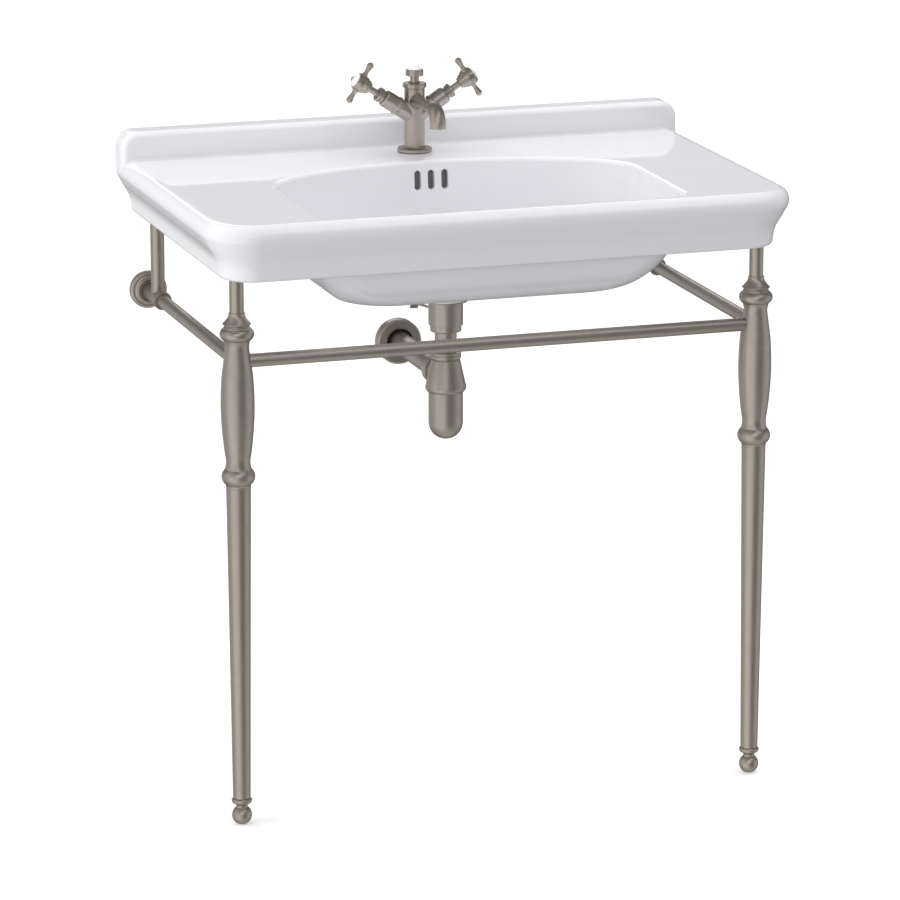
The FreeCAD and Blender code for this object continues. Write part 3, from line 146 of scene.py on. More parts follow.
def curve_points(knots, each=8):
    """Points after the first knot on a smooth curve: cubic pieces whose slopes join the neighbours."""
    knots = np.asarray(knots, float)
    span = np.linalg.norm(np.diff(knots, axis=0), axis=1)
    slope = np.empty_like(knots)
    slope[1:-1] = (knots[2:] - knots[:-2]) / (span[1:] + span[:-1])[:, None]
    slope[0] = 1.5 * (knots[1] - knots[0]) / span[0] - 0.5 * slope[1]
    slope[-1] = 1.5 * (knots[-1] - knots[-2]) / span[-1] - 0.5 * slope[-2]
    t = (np.arange(1, each + 1) / each)[None, :, None]
    p0, p1 = knots[:-1, None], knots[1:, None]
    m0, m1 = slope[:-1, None] * span[:, None, None], slope[1:, None] * span[:, None, None]
    run = ((2 * t**3 - 3 * t**2 + 1) * p0 + (t**3 - 2 * t**2 + t) * m0
           + (3 * t**2 - 2 * t**3) * p1 + (t**3 - t**2) * m1)
    return run.reshape(-1, knots.shape[1])


def trace(start, *parts, edge=0.4):
    """An outline in (radius, height), millimetres, from lines, arcs and curves.

    Each corner sharper than 18 degrees is rounded by a short parabola, up to edge long.
    """
    points = [np.array(start, float)]
    corners = set()
    for kind, *ends in parts:
        here = points[-1]
        if kind == "line":
            run = np.array(ends, float)
            corners.update(range(len(points), len(points) + len(run)))
        elif kind == "arc":
            run = arc_points(here, *ends)
            corners.add(len(points) + len(run) - 1)
        else:
            run = curve_points([here, *ends])
            corners.add(len(points) + len(run) - 1)
        corners.add(len(points) - 1)
        points.extend(run)
    count = len(points)
    smooth = []
    for i, point in enumerate(points):
        inner = 0 < i < count - 1
        before, after = points[i - 1], points[(i + 1) % count]
        a, b = point - before, after - point
        la, lb = np.linalg.norm(a), np.linalg.norm(b)
        sharp = inner and i in corners and la > 1e-9 and lb > 1e-9 and a @ b < 0.951 * la * lb
        if not sharp:
            smooth.append(point)
            continue
        p, q = point - a * min(edge / la, 0.45), point + b * min(edge / lb, 0.45)
        for t in (0, 0.25, 0.5, 0.75, 1):
            smooth.append((1 - t) ** 2 * p + 2 * t * (1 - t) * point + t**2 * q)
    return np.array(smooth)


# ---------------------------------------------------------------- surfaces
def skin(points, wrap_rows=False, wrap_columns=True):
    """A grid of points as quads, with a UV map in metres: u along the columns, v along the rows."""
    rows, columns = points.shape[:2]
    along = np.linalg.norm(np.roll(points, -1, 0) - points, axis=2).mean(1)
    across = np.linalg.norm(np.roll(points, -1, 1) - points, axis=2).max(0)
    v = np.concatenate([[0], np.cumsum(along)])
    u = np.concatenate([[0], np.cumsum(across)])
    r, c = np.meshgrid(np.arange(rows if wrap_rows else rows - 1),
                       np.arange(columns if wrap_columns else columns - 1), indexing="ij")
    r1, c1 = (r + 1) % rows, (c + 1) % columns
    quads = np.stack([r * columns + c, r * columns + c1, r1 * columns + c1, r1 * columns + c], -1)
    uv = np.stack([np.stack([u[c], u[c + 1], u[c + 1], u[c]], -1),
                   np.stack([v[r], v[r], v[r + 1], v[r + 1]], -1)], -1)
    return points.reshape(-1, 3), quads.reshape(-1, 4), uv.reshape(-1, 2)


def lathe(profile, base, axis=(0, 0, 1), around=72):
    """Turns an outline about an axis: base + height * axis + radius * (cos u, sin u) across it."""
    turn = np.array(Vector((0, 0, 1)).rotation_difference(Vector(axis).normalized()).to_matrix())
    u = np.linspace(0, 2 * math.pi, around, endpoint=False)
    radius, height = profile[:, 0, None], profile[:, 1, None]
    local = np.stack([radius * np.cos(u), radius * np.sin(u), height + 0 * u], -1)
    return skin((local @ turn.T) * MM + np.array(base))


def make_mesh(name, skins, crease=38):
    """One mesh from several skins: doubles merged, faces outwards, smooth up to crease degrees."""
    first = np.cumsum([0] + [len(s[0]) for s in skins[:-1]])
    vertices = np.concatenate([s[0] for s in skins])
    quads = np.concatenate([s[1] + n for s, n in zip(skins, first)])
    uv = np.concatenate([s[2] for s in skins])
    mesh = bpy.data.meshes.new(name)
    mesh.from_pydata(vertices, [], quads)
    layer = mesh.uv_layers.new(name="surface")
    layer.data.foreach_set("uv", uv.astype(np.float32).ravel())
    work = bmesh.new()
    work.from_mesh(mesh)
    bmesh.ops.remove_doubles(work, verts=work.verts, dist=1e-6)
    bmesh.ops.dissolve_degenerate(work, edges=work.edges, dist=1e-7)
    bmesh.ops.recalc_face_normals(work, faces=work.faces)
    work.to_mesh(mesh)
    work.free()
    mesh.shade_smooth()
    mesh.set_sharp_from_angle(angle=math.radians(crease))
    return mesh


def place(name, mesh, material, body, nodes, slot):
    """Puts a finished mesh into the scene as a piece that rides on a body and stands for nodes."""
    piece = bpy.data.objects.new(name, mesh)
    bpy.context.scene.collection.objects.link(piece)
    mesh.materials.clear()
    mesh.materials.append(material)
    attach(piece, body)
    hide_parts(*nodes)
    return piece


def make_piece(name, skins, material, nodes, body="console", slot="nickel", crease=38):
    """Builds a piece from its skins and puts it into the scene."""
    return place(name, make_mesh(name, skins, crease), material, body, nodes, slot)


def fuse_skins(name, skins, voxel, smoothing):
    """Overlapping closed skins made one casting: a voxel remesh, then smoothing that leaves fillets."""
    mesh = make_mesh(name, skins)
    work = bpy.data.objects.new(name + "_work", mesh)
    bpy.context.scene.collection.objects.link(work)
    remesh = work.modifiers.new("cast", "REMESH")
    remesh.mode = "VOXEL"
    remesh.voxel_size = voxel
    relax = work.modifiers.new("relax", "SMOOTH")
    relax.factor = 0.5
    relax.iterations = smoothing
    graph = bpy.context.evaluated_depsgraph_get()
    cast = bpy.data.meshes.new_from_object(work.evaluated_get(graph))
    bpy.data.objects.remove(work)
    cast.shade_smooth()
    cast.name = name
    return cast


# ---------------------------------------------------------------- materials
NOISE_RANGE = (0.3, 0.7)
# Colour of the painted shade inside the overflow slots.
PAINTED_SLOT_SHADE = (0.12, 0.12, 0.124)
EVEN = (1, 1, 1)


def new_material(name):
    """A material with its node tree, links and main shader."""
    material = bpy.data.materials.new(name)
    material.use_nodes = True
    nodes, links = material.node_tree.nodes, material.node_tree.links
    shader = nodes["Principled BSDF"]
    return material, nodes, links, shader


def noise_node(nodes, links, vector, stretch, scale, detail):
    """Noise on a stretched coordinate."""
    mapping = nodes.new("ShaderNodeMapping")
    mapping.inputs["Scale"].default_value = stretch
    links.new(vector, mapping.inputs["Vector"])
    noise = nodes.new("ShaderNodeTexNoise")
    noise.inputs["Scale"].default_value = scale
    noise.inputs["Detail"].default_value = detail
    links.new(mapping.outputs["Vector"], noise.inputs["Vector"])
    return noise.outputs["Fac"]


def spread(nodes, links, value, low, high):
    """Maps noise from its usual range onto another."""
    node = nodes.new("ShaderNodeMapRange")
    node.inputs["From Min"].default_value, node.inputs["From Max"].default_value = NOISE_RANGE
    node.inputs["To Min"].default_value = low
    node.inputs["To Max"].default_value = high
    links.new(value, node.inputs["Value"])
    return node.outputs["Result"]


def blend_colours(nodes, links, factor, dark, light):
    """A colour between two, by a factor from 0 to 1."""
    node = nodes.new("ShaderNodeMix")
    node.data_type = "RGBA"
    node.inputs["A"].default_value = (*dark, 1)
    node.inputs["B"].default_value = (*light, 1)
    links.new(factor, node.inputs["Factor"])
    return node.outputs["Result"]


def add_bump(nodes, links, shader, height, distance, strength):
    """Relief of the given height in metres."""
    bump = nodes.new("ShaderNodeBump")
    bump.inputs["Strength"].default_value = strength
    bump.inputs["Distance"].default_value = distance
    links.new(height, bump.inputs["Height"])
    links.new(bump.outputs["Normal"], shader.inputs["Normal"])


def shaded(base, factor):
    """A colour made darker or lighter."""
    return tuple(min(1.0, c * factor) for c in base)


def brushed_nickel(name, base, roughness, by_surface=True):
    """Brushed nickel: fine lines round a turned piece, or level ones, cloudy gloss and faint tones."""
    material, nodes, links, shader = new_material(name)
    coordinates = nodes.new("ShaderNodeTexCoord")
    vector = coordinates.outputs["UV" if by_surface else "Object"]
    grain = noise_node(nodes, links, vector, (12, 2600, 1) if by_surface else (6, 6, 900), 1.0, 3.0)
    clouds = noise_node(nodes, links, coordinates.outputs["Object"], EVEN, 38.0, 3.0)
    gloss = spread(nodes, links, clouds, roughness - 0.035, roughness + 0.045)
    links.new(gloss, shader.inputs["Roughness"])
    lightness = spread(nodes, links, grain, 0.0, 1.0)
    tone = blend_colours(nodes, links, lightness, shaded(base, 0.9), shaded(base, 1.07))
    links.new(tone, shader.inputs["Base Color"])
    shader.inputs["Metallic"].default_value = 1.0
    add_bump(nodes, links, shader, grain, 0.00004, 0.35)
    return material


def glaze(name, base, roughness):
    """Thick white glaze: very slight waves, a little pooling of tone, and painted shade inside the slots."""
    material, nodes, links, shader = new_material(name)
    coordinates = nodes.new("ShaderNodeTexCoord")
    waves = noise_node(nodes, links, coordinates.outputs["Object"], EVEN, 9.0, 1.0)
    pools = noise_node(nodes, links, coordinates.outputs["Object"], EVEN, 3.0, 2.0)
    tone = blend_colours(nodes, links, spread(nodes, links, pools, 0.0, 1.0), shaded(base, 0.985), base)
    # Painted shade: the glaze darkens toward the slot colour by a share kept on the basin's points.
    painted_shade_mask = nodes.new("ShaderNodeAttribute")
    painted_shade_mask.attribute_name = "painted_shade_mask"
    dark = nodes.new("ShaderNodeMix")
    dark.data_type = "RGBA"
    dark.inputs["B"].default_value = (*PAINTED_SLOT_SHADE, 1)
    links.new(tone, dark.inputs["A"])
    links.new(painted_shade_mask.outputs["Fac"], dark.inputs["Factor"])
    links.new(dark.outputs["Result"], shader.inputs["Base Color"])
    gloss = spread(nodes, links, pools, roughness - 0.01, roughness + 0.015)
    links.new(gloss, shader.inputs["Roughness"])
    shader.inputs["Coat Weight"].default_value = 0.35
    shader.inputs["Coat Roughness"].default_value = 0.03
    shader.inputs["IOR"].default_value = 1.52
    add_bump(nodes, links, shader, waves, 0.0006, 0.12)
    return material


def plain_finish(name, base, roughness, metallic=0.0, grain_scale=700.0, depth=0.00006):
    """A moulded, cast or turned finish with a fine grain in its gloss and surface."""
    material, nodes, links, shader = new_material(name)
    coordinates = nodes.new("ShaderNodeTexCoord")
    grain = noise_node(nodes, links, coordinates.outputs["Object"], EVEN, grain_scale, 3.0)
    clouds = noise_node(nodes, links, coordinates.outputs["Object"], EVEN, 45.0, 2.0)
    tone = blend_colours(nodes, links, spread(nodes, links, clouds, 0.0, 1.0), shaded(base, 0.9), base)
    links.new(tone, shader.inputs["Base Color"])
    gloss = spread(nodes, links, grain, roughness - 0.04, roughness + 0.05)
    links.new(gloss, shader.inputs["Roughness"])
    shader.inputs["Metallic"].default_value = metallic
    add_bump(nodes, links, shader, grain, depth, 0.3)
    return material


def finish(name):
    """The named material, made once from the scene's settings."""
    known = bpy.data.materials.get(name)
    if known:
        return known
    look = bpy.context.scene.console_finishes
    makers = {
        "glazed_ceramic": lambda n: glaze(n, tuple(look.glaze), look.glaze_roughness),
        "brushed_nickel": lambda n: brushed_nickel(n, tuple(look.nickel), look.nickel_roughness),
        "cast_nickel": lambda n: brushed_nickel(n, tuple(look.nickel), look.nickel_roughness, False),
        "index_glaze": lambda n: plain_finish(n, (0.78, 0.78, 0.80), 0.12, 0.0, 300.0, 0.00002),
        "index_print": lambda n: plain_finish(n, (0.10, 0.10, 0.11), 0.45),
        "turned_brass": lambda n: plain_finish(n, (0.62, 0.47, 0.22), 0.32, 1.0),
        "zinc_plate": lambda n: plain_finish(n, (0.52, 0.53, 0.54), 0.38, 1.0),
        "white_plastic": lambda n: plain_finish(n, (0.80, 0.80, 0.79), 0.45),
        "black_rubber": lambda n: plain_finish(n, (0.018, 0.018, 0.019), 0.62),
    }
    return makers[name](name)


# ---------------------------------------------------------------- basin
# Lengths in millimetres. A loop has the same columns at every height, so rows join one to one.
FRONT_STEPS, CORNER_STEPS, SIDE_STEPS = 12, 12, 14
REAR_STEPS, REAR_FINE_STEPS = 18, 44
FINE_HALF_WIDTH = 32.0
FLOOR_ROWS, WALL_ROWS, SLOT_ROWS, EDGE_ROWS, UNDER_ROWS, UNDER_FLOOR_ROWS = 16, 22, 44, 9, 26, 14

# The bowl's mouth, from the middle or the wall, and how much each size changes down to the floor.
BOWL = {"half": 266.0, "front": 520.0, "back": 168.0, "crown": 128.0, "corner": 28.0}
BOWL_FLOOR = {"half": -84.0, "front": -84.0, "back": 30.0, "crown": -40.0, "corner": 30.0}
BOWL_WALL = 11.5
BOWL_DROP = 132.0
BOWL_LAND = 8.0
BOWL_LEAN = 0.22
UNDER_DROP = 12.0
UNDER_FILLET = 8.0
UNDER_START = 6.8
WASTE_HOLE = 22.5
WASTE_SEAT_DROP = 173.0
WASTE_FOOT_DROP = 187.0
DECK_THICKNESS = 16.0
BACK_WALL = 22.0
APRON_INNER = 35.5
ROLL = 17.5
TUCK = math.radians(35)
RIM_ROWS = 110
RIM_SOFT = 3
SLOT_WIDTH, SLOT_HEIGHT, SLOT_PITCH, SLOT_DROP, SLOT_DEPTH = 8.7, 27.0, 20.5, 27.5, 15.0
SLOT_ZONE = 46.0
# How far behind the back wall the painted shade in the slots takes to reach full darkness.
PAINTED_SLOT_SHADE_DEPTH = 7.0
BACK_RADIUS = 550.0
UPSTAND_DEPTH, UPSTAND_CORNER, UPSTAND_EDGE, UPSTAND_COVE = 41.0, 24.0, 9.0, 5.0
BOSS_DROP = 63.0
REAR_POST_OUT = 60.0


def steps(count):
    """Even shares from 0 up to but not at 1."""
    return np.arange(count) / count


def mirrored(half):
    """A closed loop from its right half, which runs from the middle of the front to the back."""
    left = half[-2:0:-1] * np.array([-1, 1])
    return np.concatenate([half, left])


def rear_shares():
    """How far each rear column is from the shoulder: coarse first, then fine about the slots."""
    return 1 - steps(REAR_STEPS), 1 - np.arange(REAR_FINE_STEPS + 1) / REAR_FINE_STEPS


def front_and_side(half, front, corner, side):
    """From the middle of the front round the corner and along the side; y is minus the wall distance."""
    s = steps(FRONT_STEPS)[:, None]
    ahead = np.hstack([s * (half - corner), 0 * s - front])
    turn = -math.pi / 2 + steps(CORNER_STEPS) * math.pi / 2
    bend = np.stack([half - corner + corner * np.cos(turn), corner - front + corner * np.sin(turn)], -1)
    s = steps(SIDE_STEPS)[:, None]
    beside = np.hstack([0 * s + half, corner - front + s * side])
    return np.concatenate([ahead, bend, beside])


def bowl_loop(half, front, back, crown, corner):
    """Straight front and sides, round corners, half an ellipse behind."""
    coarse, fine = rear_shares()
    start = math.asin(FINE_HALF_WIDTH / half)
    near_middle = np.arcsin(fine * FINE_HALF_WIDTH / half)
    angle = np.concatenate([start + (math.pi / 2 - start) * coarse, near_middle])
    behind = np.stack([half * np.sin(angle), crown * np.cos(angle) - back - crown], -1)
    side = front - corner - back - crown
    return mirrored(np.concatenate([front_and_side(half, front, corner, side), behind]))


def rim_loop(half, front, corner, back):
    """A rectangle against the wall with round front corners."""
    coarse, fine = rear_shares()
    x = np.concatenate([FINE_HALF_WIDTH + (half - FINE_HALF_WIDTH) * coarse, FINE_HALF_WIDTH * fine])
    behind = np.stack([x, 0 * x - back], -1)
    side = front - corner - back
    return mirrored(np.concatenate([front_and_side(half, front, corner, side), behind]))


def waste_loop(radius, centre):
    """A circle about the waste, its columns spread as the bowl's are."""
    coarse, fine = rear_shares()
    angle = np.radians(np.concatenate([
        38 * steps(FRONT_STEPS), 38 + 12 * steps(CORNER_STEPS), 50 + 40 * steps(SIDE_STEPS),
        180 - 90 * (0.35 + 0.65 * coarse), 180 - 90 * 0.35 * fine]))
    return mirrored(np.stack([radius * np.sin(angle), -radius * np.cos(angle) - centre], -1))


def level(loop, height):
    """A loop laid at a height."""
    return np.column_stack([loop, np.full(len(loop), height)])


def grown_bowl(size, grow):
    """The bowl's loop at the given sizes, moved outwards."""
    return bowl_loop(size["half"] + grow, size["front"] + grow, size["back"] - grow, size["crown"],
                     size["corner"] + grow)


def inward_share(t):
    """How far the bowl's wall has come in at angle t: lean * sin t + (1 - lean) * (1 - cos t)."""
    return BOWL_LEAN * np.sin(t) + (1 - BOWL_LEAN) * (1 - np.cos(t))


def bowl_row(rim, grow, drop, degrees):
    """A row of the bowl's wall at angle t, land + (drop - land) * sin t below the rim."""
    t = math.radians(degrees)
    size = {key: BOWL[key] + inward_share(t) * BOWL_FLOOR[key] for key in BOWL}
    return level(grown_bowl(size, grow), rim - BOWL_LAND - (drop - BOWL_LAND) * math.sin(t))


def floor_rows(outer, radius, end, waste, count):
    """Rows of the dished floor: straight lines from the wall's foot to the waste, falling ever faster."""
    t = (np.arange(1, count + 1) / count)[:, None, None]
    inner = level(waste_loop(radius, waste), end)
    rows = outer + (inner - outer) * t
    rows[:, :, 2] = outer[0, 2] + (end - outer[0, 2]) * t[:, :, 0] ** 1.3
    return list(rows)


def rim_profile(sizes):
    """The rim's edge as (inset, drop): roll, tuck, ogee and a rounded foot.

    The outline is spaced evenly, then each point becomes the mean of those within a few steps of it.
    """
    slant = ROLL * (1 - math.sqrt(0.5))
    apron = sizes.apron / MM
    outline = trace(
        (ROLL, 0.0),
        ("arc", (slant, slant), (0.0, ROLL)),
        ("arc", (ROLL - ROLL * math.cos(TUCK / 2), ROLL + ROLL * math.sin(TUCK / 2)),
         (ROLL - ROLL * math.cos(TUCK), ROLL + ROLL * math.sin(TUCK))),
        ("curve", (8.6, 37.8), (13.9, 46.5), (18.4, 55.5), (20.9, 64.0), (22.5, apron - 4)),
        ("arc", (23.7, apron - 1.2), (26.5, apron)),
    )
    far = np.concatenate([[0], np.cumsum(np.linalg.norm(np.diff(outline, axis=0), axis=1))])
    even = np.linspace(0, far[-1], RIM_ROWS)
    points = np.column_stack([np.interp(even, far, outline[:, k]) for k in (0, 1)])
    smooth = points.copy()
    for reach in range(1, RIM_SOFT + 1):
        inner = slice(reach, len(points) - reach)
        window = [points[reach + k: len(points) - reach + k] for k in range(-reach, reach + 1)]
        smooth[inner] = np.mean(window, axis=0)
    return smooth


def slot_depth(points, rim):
    """How deep each point of the bowl's back wall lies in an overflow slot, from 0 to 1.

    The distance to a slot is that to a capsule; the depth rises smoothly over its soft edge.
    """
    across = np.min([np.abs(points[..., 0] - step * SLOT_PITCH) for step in (-1, 0, 1)], axis=0)
    up = np.abs(points[..., 2] - (rim - SLOT_DROP)) - (SLOT_HEIGHT - SLOT_WIDTH) / 2
    distance = np.hypot(across, np.maximum(up, 0)) - SLOT_WIDTH / 2
    t = np.clip((0.7 - distance) / 2.2, 0, 1)
    behind = points[..., 1] > -BOWL["back"] - 40
    return t * t * (3 - 2 * t) * behind


def waste_rows(seat, foot, waste):
    """The waste hole from its foot up, the seat for the flange and the start of the bowl's floor."""
    hole = [(WASTE_HOLE, z) for z in (foot, foot + 1, seat - 1, seat)]
    ledge = [(23, seat), (32.6, seat), (33, seat + 0.4), (33, seat + 3), (33.6, seat + 4.2)]
    return [level(waste_loop(radius, waste), z) for radius, z in (*hole, *ledge)]


def bowl_rows(rim, seat, waste):
    """The dished floor and the bowl's wall, with finer rows where the slots are."""
    foot_row = bowl_row(rim, 0, BOWL_DROP, 90)
    rows = floor_rows(foot_row, 35.5, seat + 4.8, waste, FLOOR_ROWS)[::-1]
    drops = np.linspace(SLOT_ZONE, BOWL_LAND, SLOT_ROWS, endpoint=False)
    fine = np.degrees(np.arcsin((drops - BOWL_LAND) / (BOWL_DROP - BOWL_LAND)))
    coarse = np.linspace(90, fine[0], WALL_ROWS, endpoint=False)
    return rows + [bowl_row(rim, 0, BOWL_DROP, t) for t in (*coarse, *fine)]


def edge_rows(rim, edge):
    """The rounding between the bowl and the deck."""
    rows = []
    for t in np.linspace(0, math.pi / 2, EDGE_ROWS):
        loop = grown_bowl(BOWL, edge * (1 - math.cos(t)))
        rows.append(level(loop, rim - edge + edge * math.sin(t)))
    return rows


def underside_rows(rim, foot, waste, under):
    """From the apron's back over the deck's underside and down the bowl's outside to the waste."""
    below = BOWL_DROP + UNDER_DROP
    start = bowl_row(rim, BOWL_WALL, below, UNDER_START)
    top = level(bowl_loop(BOWL["half"] + BOWL_WALL + UNDER_FILLET, BOWL["front"] + BOWL_WALL - 1,
                          BOWL["back"] - BOWL_WALL - UNDER_FILLET, BOWL["crown"],
                          BOWL["corner"] + BOWL_WALL), rim - DECK_THICKNESS)
    rows = [under + (top - under) * t for t in (0, 0.1, 0.4, 0.8)]
    for t in np.linspace(0, math.pi / 2, 7)[:-1]:
        row = start + (top - start) * (1 - math.sin(t))
        row[:, 2] = start[0, 2] + (top[0, 2] - start[0, 2]) * math.cos(t)
        rows.append(row)
    rows += [bowl_row(rim, BOWL_WALL, below, t) for t in np.linspace(UNDER_START, 90, UNDER_ROWS)]
    rows += floor_rows(rows[-1], 34.5, foot + 1.5, waste, UNDER_FLOOR_ROWS)
    return rows + [level(waste_loop(r, waste), z) for r, z in ((34, foot + 0.4), (33, foot), (23.5, foot))]


def basin_body(sizes, waste):
    """The basin as one closed skin of loops: waste, bowl, deck, rim, underside and back to the waste."""
    rim = deck_height(sizes) / MM
    half, depth = sizes.width / MM / 2, sizes.depth / MM
    corner, apron = sizes.corner / MM, sizes.apron / MM
    seat, foot = rim - WASTE_SEAT_DROP, rim - WASTE_FOOT_DROP

    def rim_row(inset, drop, back=0.0):
        return level(rim_loop(half - inset, depth - inset, corner - inset, back), rim - drop)

    rows = waste_rows(seat, foot, waste) + bowl_rows(rim, seat, waste)
    in_bowl = len(rows) + 1
    rows += edge_rows(rim, sizes.edge / MM)
    deck_start, deck_end = rows[-1], rim_row(ROLL, 0)
    rows += [deck_start + (deck_end - deck_start) * t for t in (0.04, 0.2, 0.5, 0.8, 0.96)]
    rows += [rim_row(inset, drop) for inset, drop in rim_profile(sizes)]
    rows += [rim_row(31, apron), rim_row(APRON_INNER - 1, apron, BACK_WALL - 1)]
    for drop in (apron - 1, apron - 20, DECK_THICKNESS + 20, DECK_THICKNESS + 3):
        rows.append(rim_row(APRON_INNER, drop, BACK_WALL))
    rows += underside_rows(rim, foot, waste, rim_row(APRON_INNER + 3, DECK_THICKNESS, BACK_WALL + 3))
    points = np.array(rows)
    points[:in_bowl, :, 1] += slot_depth(points[:in_bowl], rim) * SLOT_DEPTH
    return points


def painted_shade_share(places, rim):
    """How far each point near the slots lies behind the bowl's back wall, from 0 to 1: the share of painted
    shade there.
    """
    drop = rim - places[:, 2]
    t = np.arcsin(np.clip((drop - BOWL_LAND) / (BOWL_DROP - BOWL_LAND), 0, 1))
    face = -(BOWL["back"] + inward_share(t) * BOWL_FLOOR["back"]) - (places[:, 0] ** 2) / (2 * BACK_RADIUS)
    near = (np.abs(places[:, 0]) < FINE_HALF_WIDTH) & (drop > 10) & (drop < SLOT_ZONE)
    near &= places[:, 1] < -150
    return np.where(near, np.clip((places[:, 1] - face) / PAINTED_SLOT_SHADE_DEPTH, 0, 1), 0)


def to_room(points):
    """Millimetres from the wall into metres in the object's frame."""
    return points * MM + np.array([0, BASIN_HIGH.y, 0])


def upstand_skin(sizes):
    """The splashback: its front outline carried back to the wall, a soft front edge and a cove below.

    The outline is inset by e where the front edge is e deep; the cove follows the deck's own roll.
    """
    rim = deck_height(sizes) / MM
    top, half = sizes.top / MM, sizes.width / MM / 2
    thick, round_corner, soft, cove = UPSTAND_DEPTH, UPSTAND_CORNER, UPSTAND_EDGE, UPSTAND_COVE
    turn = np.linspace(math.pi, math.pi / 2, 16)
    side = np.linspace(0, 1, 7)[:-1]
    middle = np.linspace(-1, 1, 90)[1:-1]

    def roll_height(inset):
        return rim - ROLL + np.sqrt(np.maximum(ROLL**2 - np.maximum(ROLL - inset, 0) ** 2, 0))

    def ring(inset, depth):
        radius = round_corner - inset
        low = float(roll_height(np.array(inset)))
        x = np.concatenate([np.full(len(side), inset - half),
                            round_corner - half + radius * np.cos(turn),
                            middle * (half - round_corner)])
        z = np.concatenate([low + side * (top - round_corner - low),
                            top - round_corner + radius * np.sin(turn),
                            np.full(len(middle), top - inset)])
        x = np.concatenate([x, -x[: len(side) + len(turn)][::-1]])
        z = np.concatenate([z, z[: len(side) + len(turn)][::-1]])
        return np.column_stack([x, np.full(len(x), -depth), z])

    rows = [ring(0, 0.0), ring(0, 0.5 * thick), ring(0, thick - soft)]
    for t in np.linspace(0, math.pi / 2, 8)[1:]:
        rows.append(ring(soft * (1 - math.cos(t)), thick - soft + soft * math.sin(t)))
    front = rows[-1]
    count, ends = len(front), len(side) + len(turn)
    foot_x = front[:, 0].copy()
    reach, hold = half - soft, half - round_corner - 16
    foot_x[:ends] = -reach + (reach - hold) * np.arange(ends) / ends
    foot_x[count - ends:] = -foot_x[:ends][::-1]
    foot_x = np.sort(foot_x)
    size = cove * np.clip((reach - np.abs(foot_x)) / 10, 0, 1)
    deck = roll_height(half - np.abs(foot_x))
    foot = np.column_stack([foot_x, np.full(count, -thick), deck + size])
    rows += [front + (foot - front) * t for t in (0.3, 0.7, 1.0)]
    for t in np.linspace(0, math.pi / 2, 6)[1:]:
        rows.append(np.column_stack([foot_x, -thick - size * (1 - math.cos(t)),
                                     deck + size * (1 - math.sin(t)) - 0.02]))
    rows.append(np.column_stack([foot_x, -thick - size, deck - 3]))
    rows.append(np.column_stack([foot_x * 0.999, np.full(count, -1.0), deck - 6]))
    return np.array(rows)


def end_fans(points):
    """Closes the two open ends of a grid whose rows wrap, by a middle point each."""
    first = np.repeat(points[:, :1].mean(0, keepdims=True), len(points), 0)
    last = np.repeat(points[:, -1:].mean(0, keepdims=True), len(points), 0)
    return np.concatenate([first, points, last], 1)


def duct_skin(rim):
    """The overflow duct down the bowl's back: a rounded box carried along the bowl's wall."""
    line = [(30.0, 15.0), (24.0, 60.0), (15.0, 105.0), (2.0, 146.0), (-2.0, 172.0), (-28.0, 184.0)]
    path = np.vstack([line[:1], curve_points(line, 5)])
    turn = np.linspace(0, 2 * math.pi, 48, endpoint=False)
    power = 0.35
    across = 42.0 * np.sign(np.cos(turn)) * np.abs(np.cos(turn)) ** power
    deep = 11.0 * np.sign(np.sin(turn)) * np.abs(np.sin(turn)) ** power
    rows = []
    for out, drop in path:
        y = out - BOWL["back"] - 11.0
        rows.append(np.column_stack([across, y + deep, np.full(len(turn), rim - drop)]))
    rows.insert(0, np.repeat(rows[0].mean(0, keepdims=True), len(turn), 0))
    rows.append(np.repeat(rows[-1].mean(0, keepdims=True), len(turn), 0))
    return np.array(rows)


def boss_profile():
    """A post boss under the deck, with the socket that the post stands in."""
    return trace(
        (10.2, 14.0),
        ("line", (10.2, -10.0), (20.5, -10.0), (20.5, 48.0), (10.2, 48.0), (10.2, 14.0)),
        edge=2.0,
    )


class CONSOLE_OT_basin(bpy.types.Operator):
    """Builds the glazed basin with its bowl, rolled rim, upstand and overflow"""

    bl_idname = "console.basin"
    bl_label = "Basin"

    def execute(self, context):
        sizes, stand = context.scene.console_basin, context.scene.console_stand
        rim = deck_height(sizes) / MM
        upstand = end_fans(upstand_skin(sizes))
        skins = [skin(to_room(basin_body(sizes, stand.waste_out / MM)), wrap_rows=True),
                 skin(to_room(upstand), wrap_rows=True, wrap_columns=False),
                 skin(to_room(duct_skin(rim)))]
        for side in (-1, 1):
            for out in (stand.leg_out, REAR_POST_OUT * MM):
                base = (side * stand.leg_x, BASIN_HIGH.y - out, (rim - BOSS_DROP) * MM)
                skins.append(lathe(boss_profile(), base, around=40))
        ceramic = finish("glazed_ceramic")
        piece = make_piece("basin_glazed", skins, ceramic, ["basin"], slot="ceramic", crease=42)
        coordinates = np.zeros(len(piece.data.vertices) * 3, np.float32)
        piece.data.vertices.foreach_get("co", coordinates)
        places = coordinates.reshape(-1, 3).astype(float) / MM - np.array([0, BASIN_HIGH.y / MM, 0])
        # The share of painted shade inside the slots, kept on the points for the glaze.
        layer = piece.data.attributes.new("painted_shade_mask", "FLOAT", "POINT")
        layer.data.foreach_set("value", painted_shade_share(places, rim).astype(np.float32))
        return {"FINISHED"}


# ---------------------------------------------------------------- stand
RAIL_RADIUS = 9.4
POST_RADIUS = 10.0
POST_TOP_DROP = 51.0
RAIL_END_FROM_WALL = 73.0


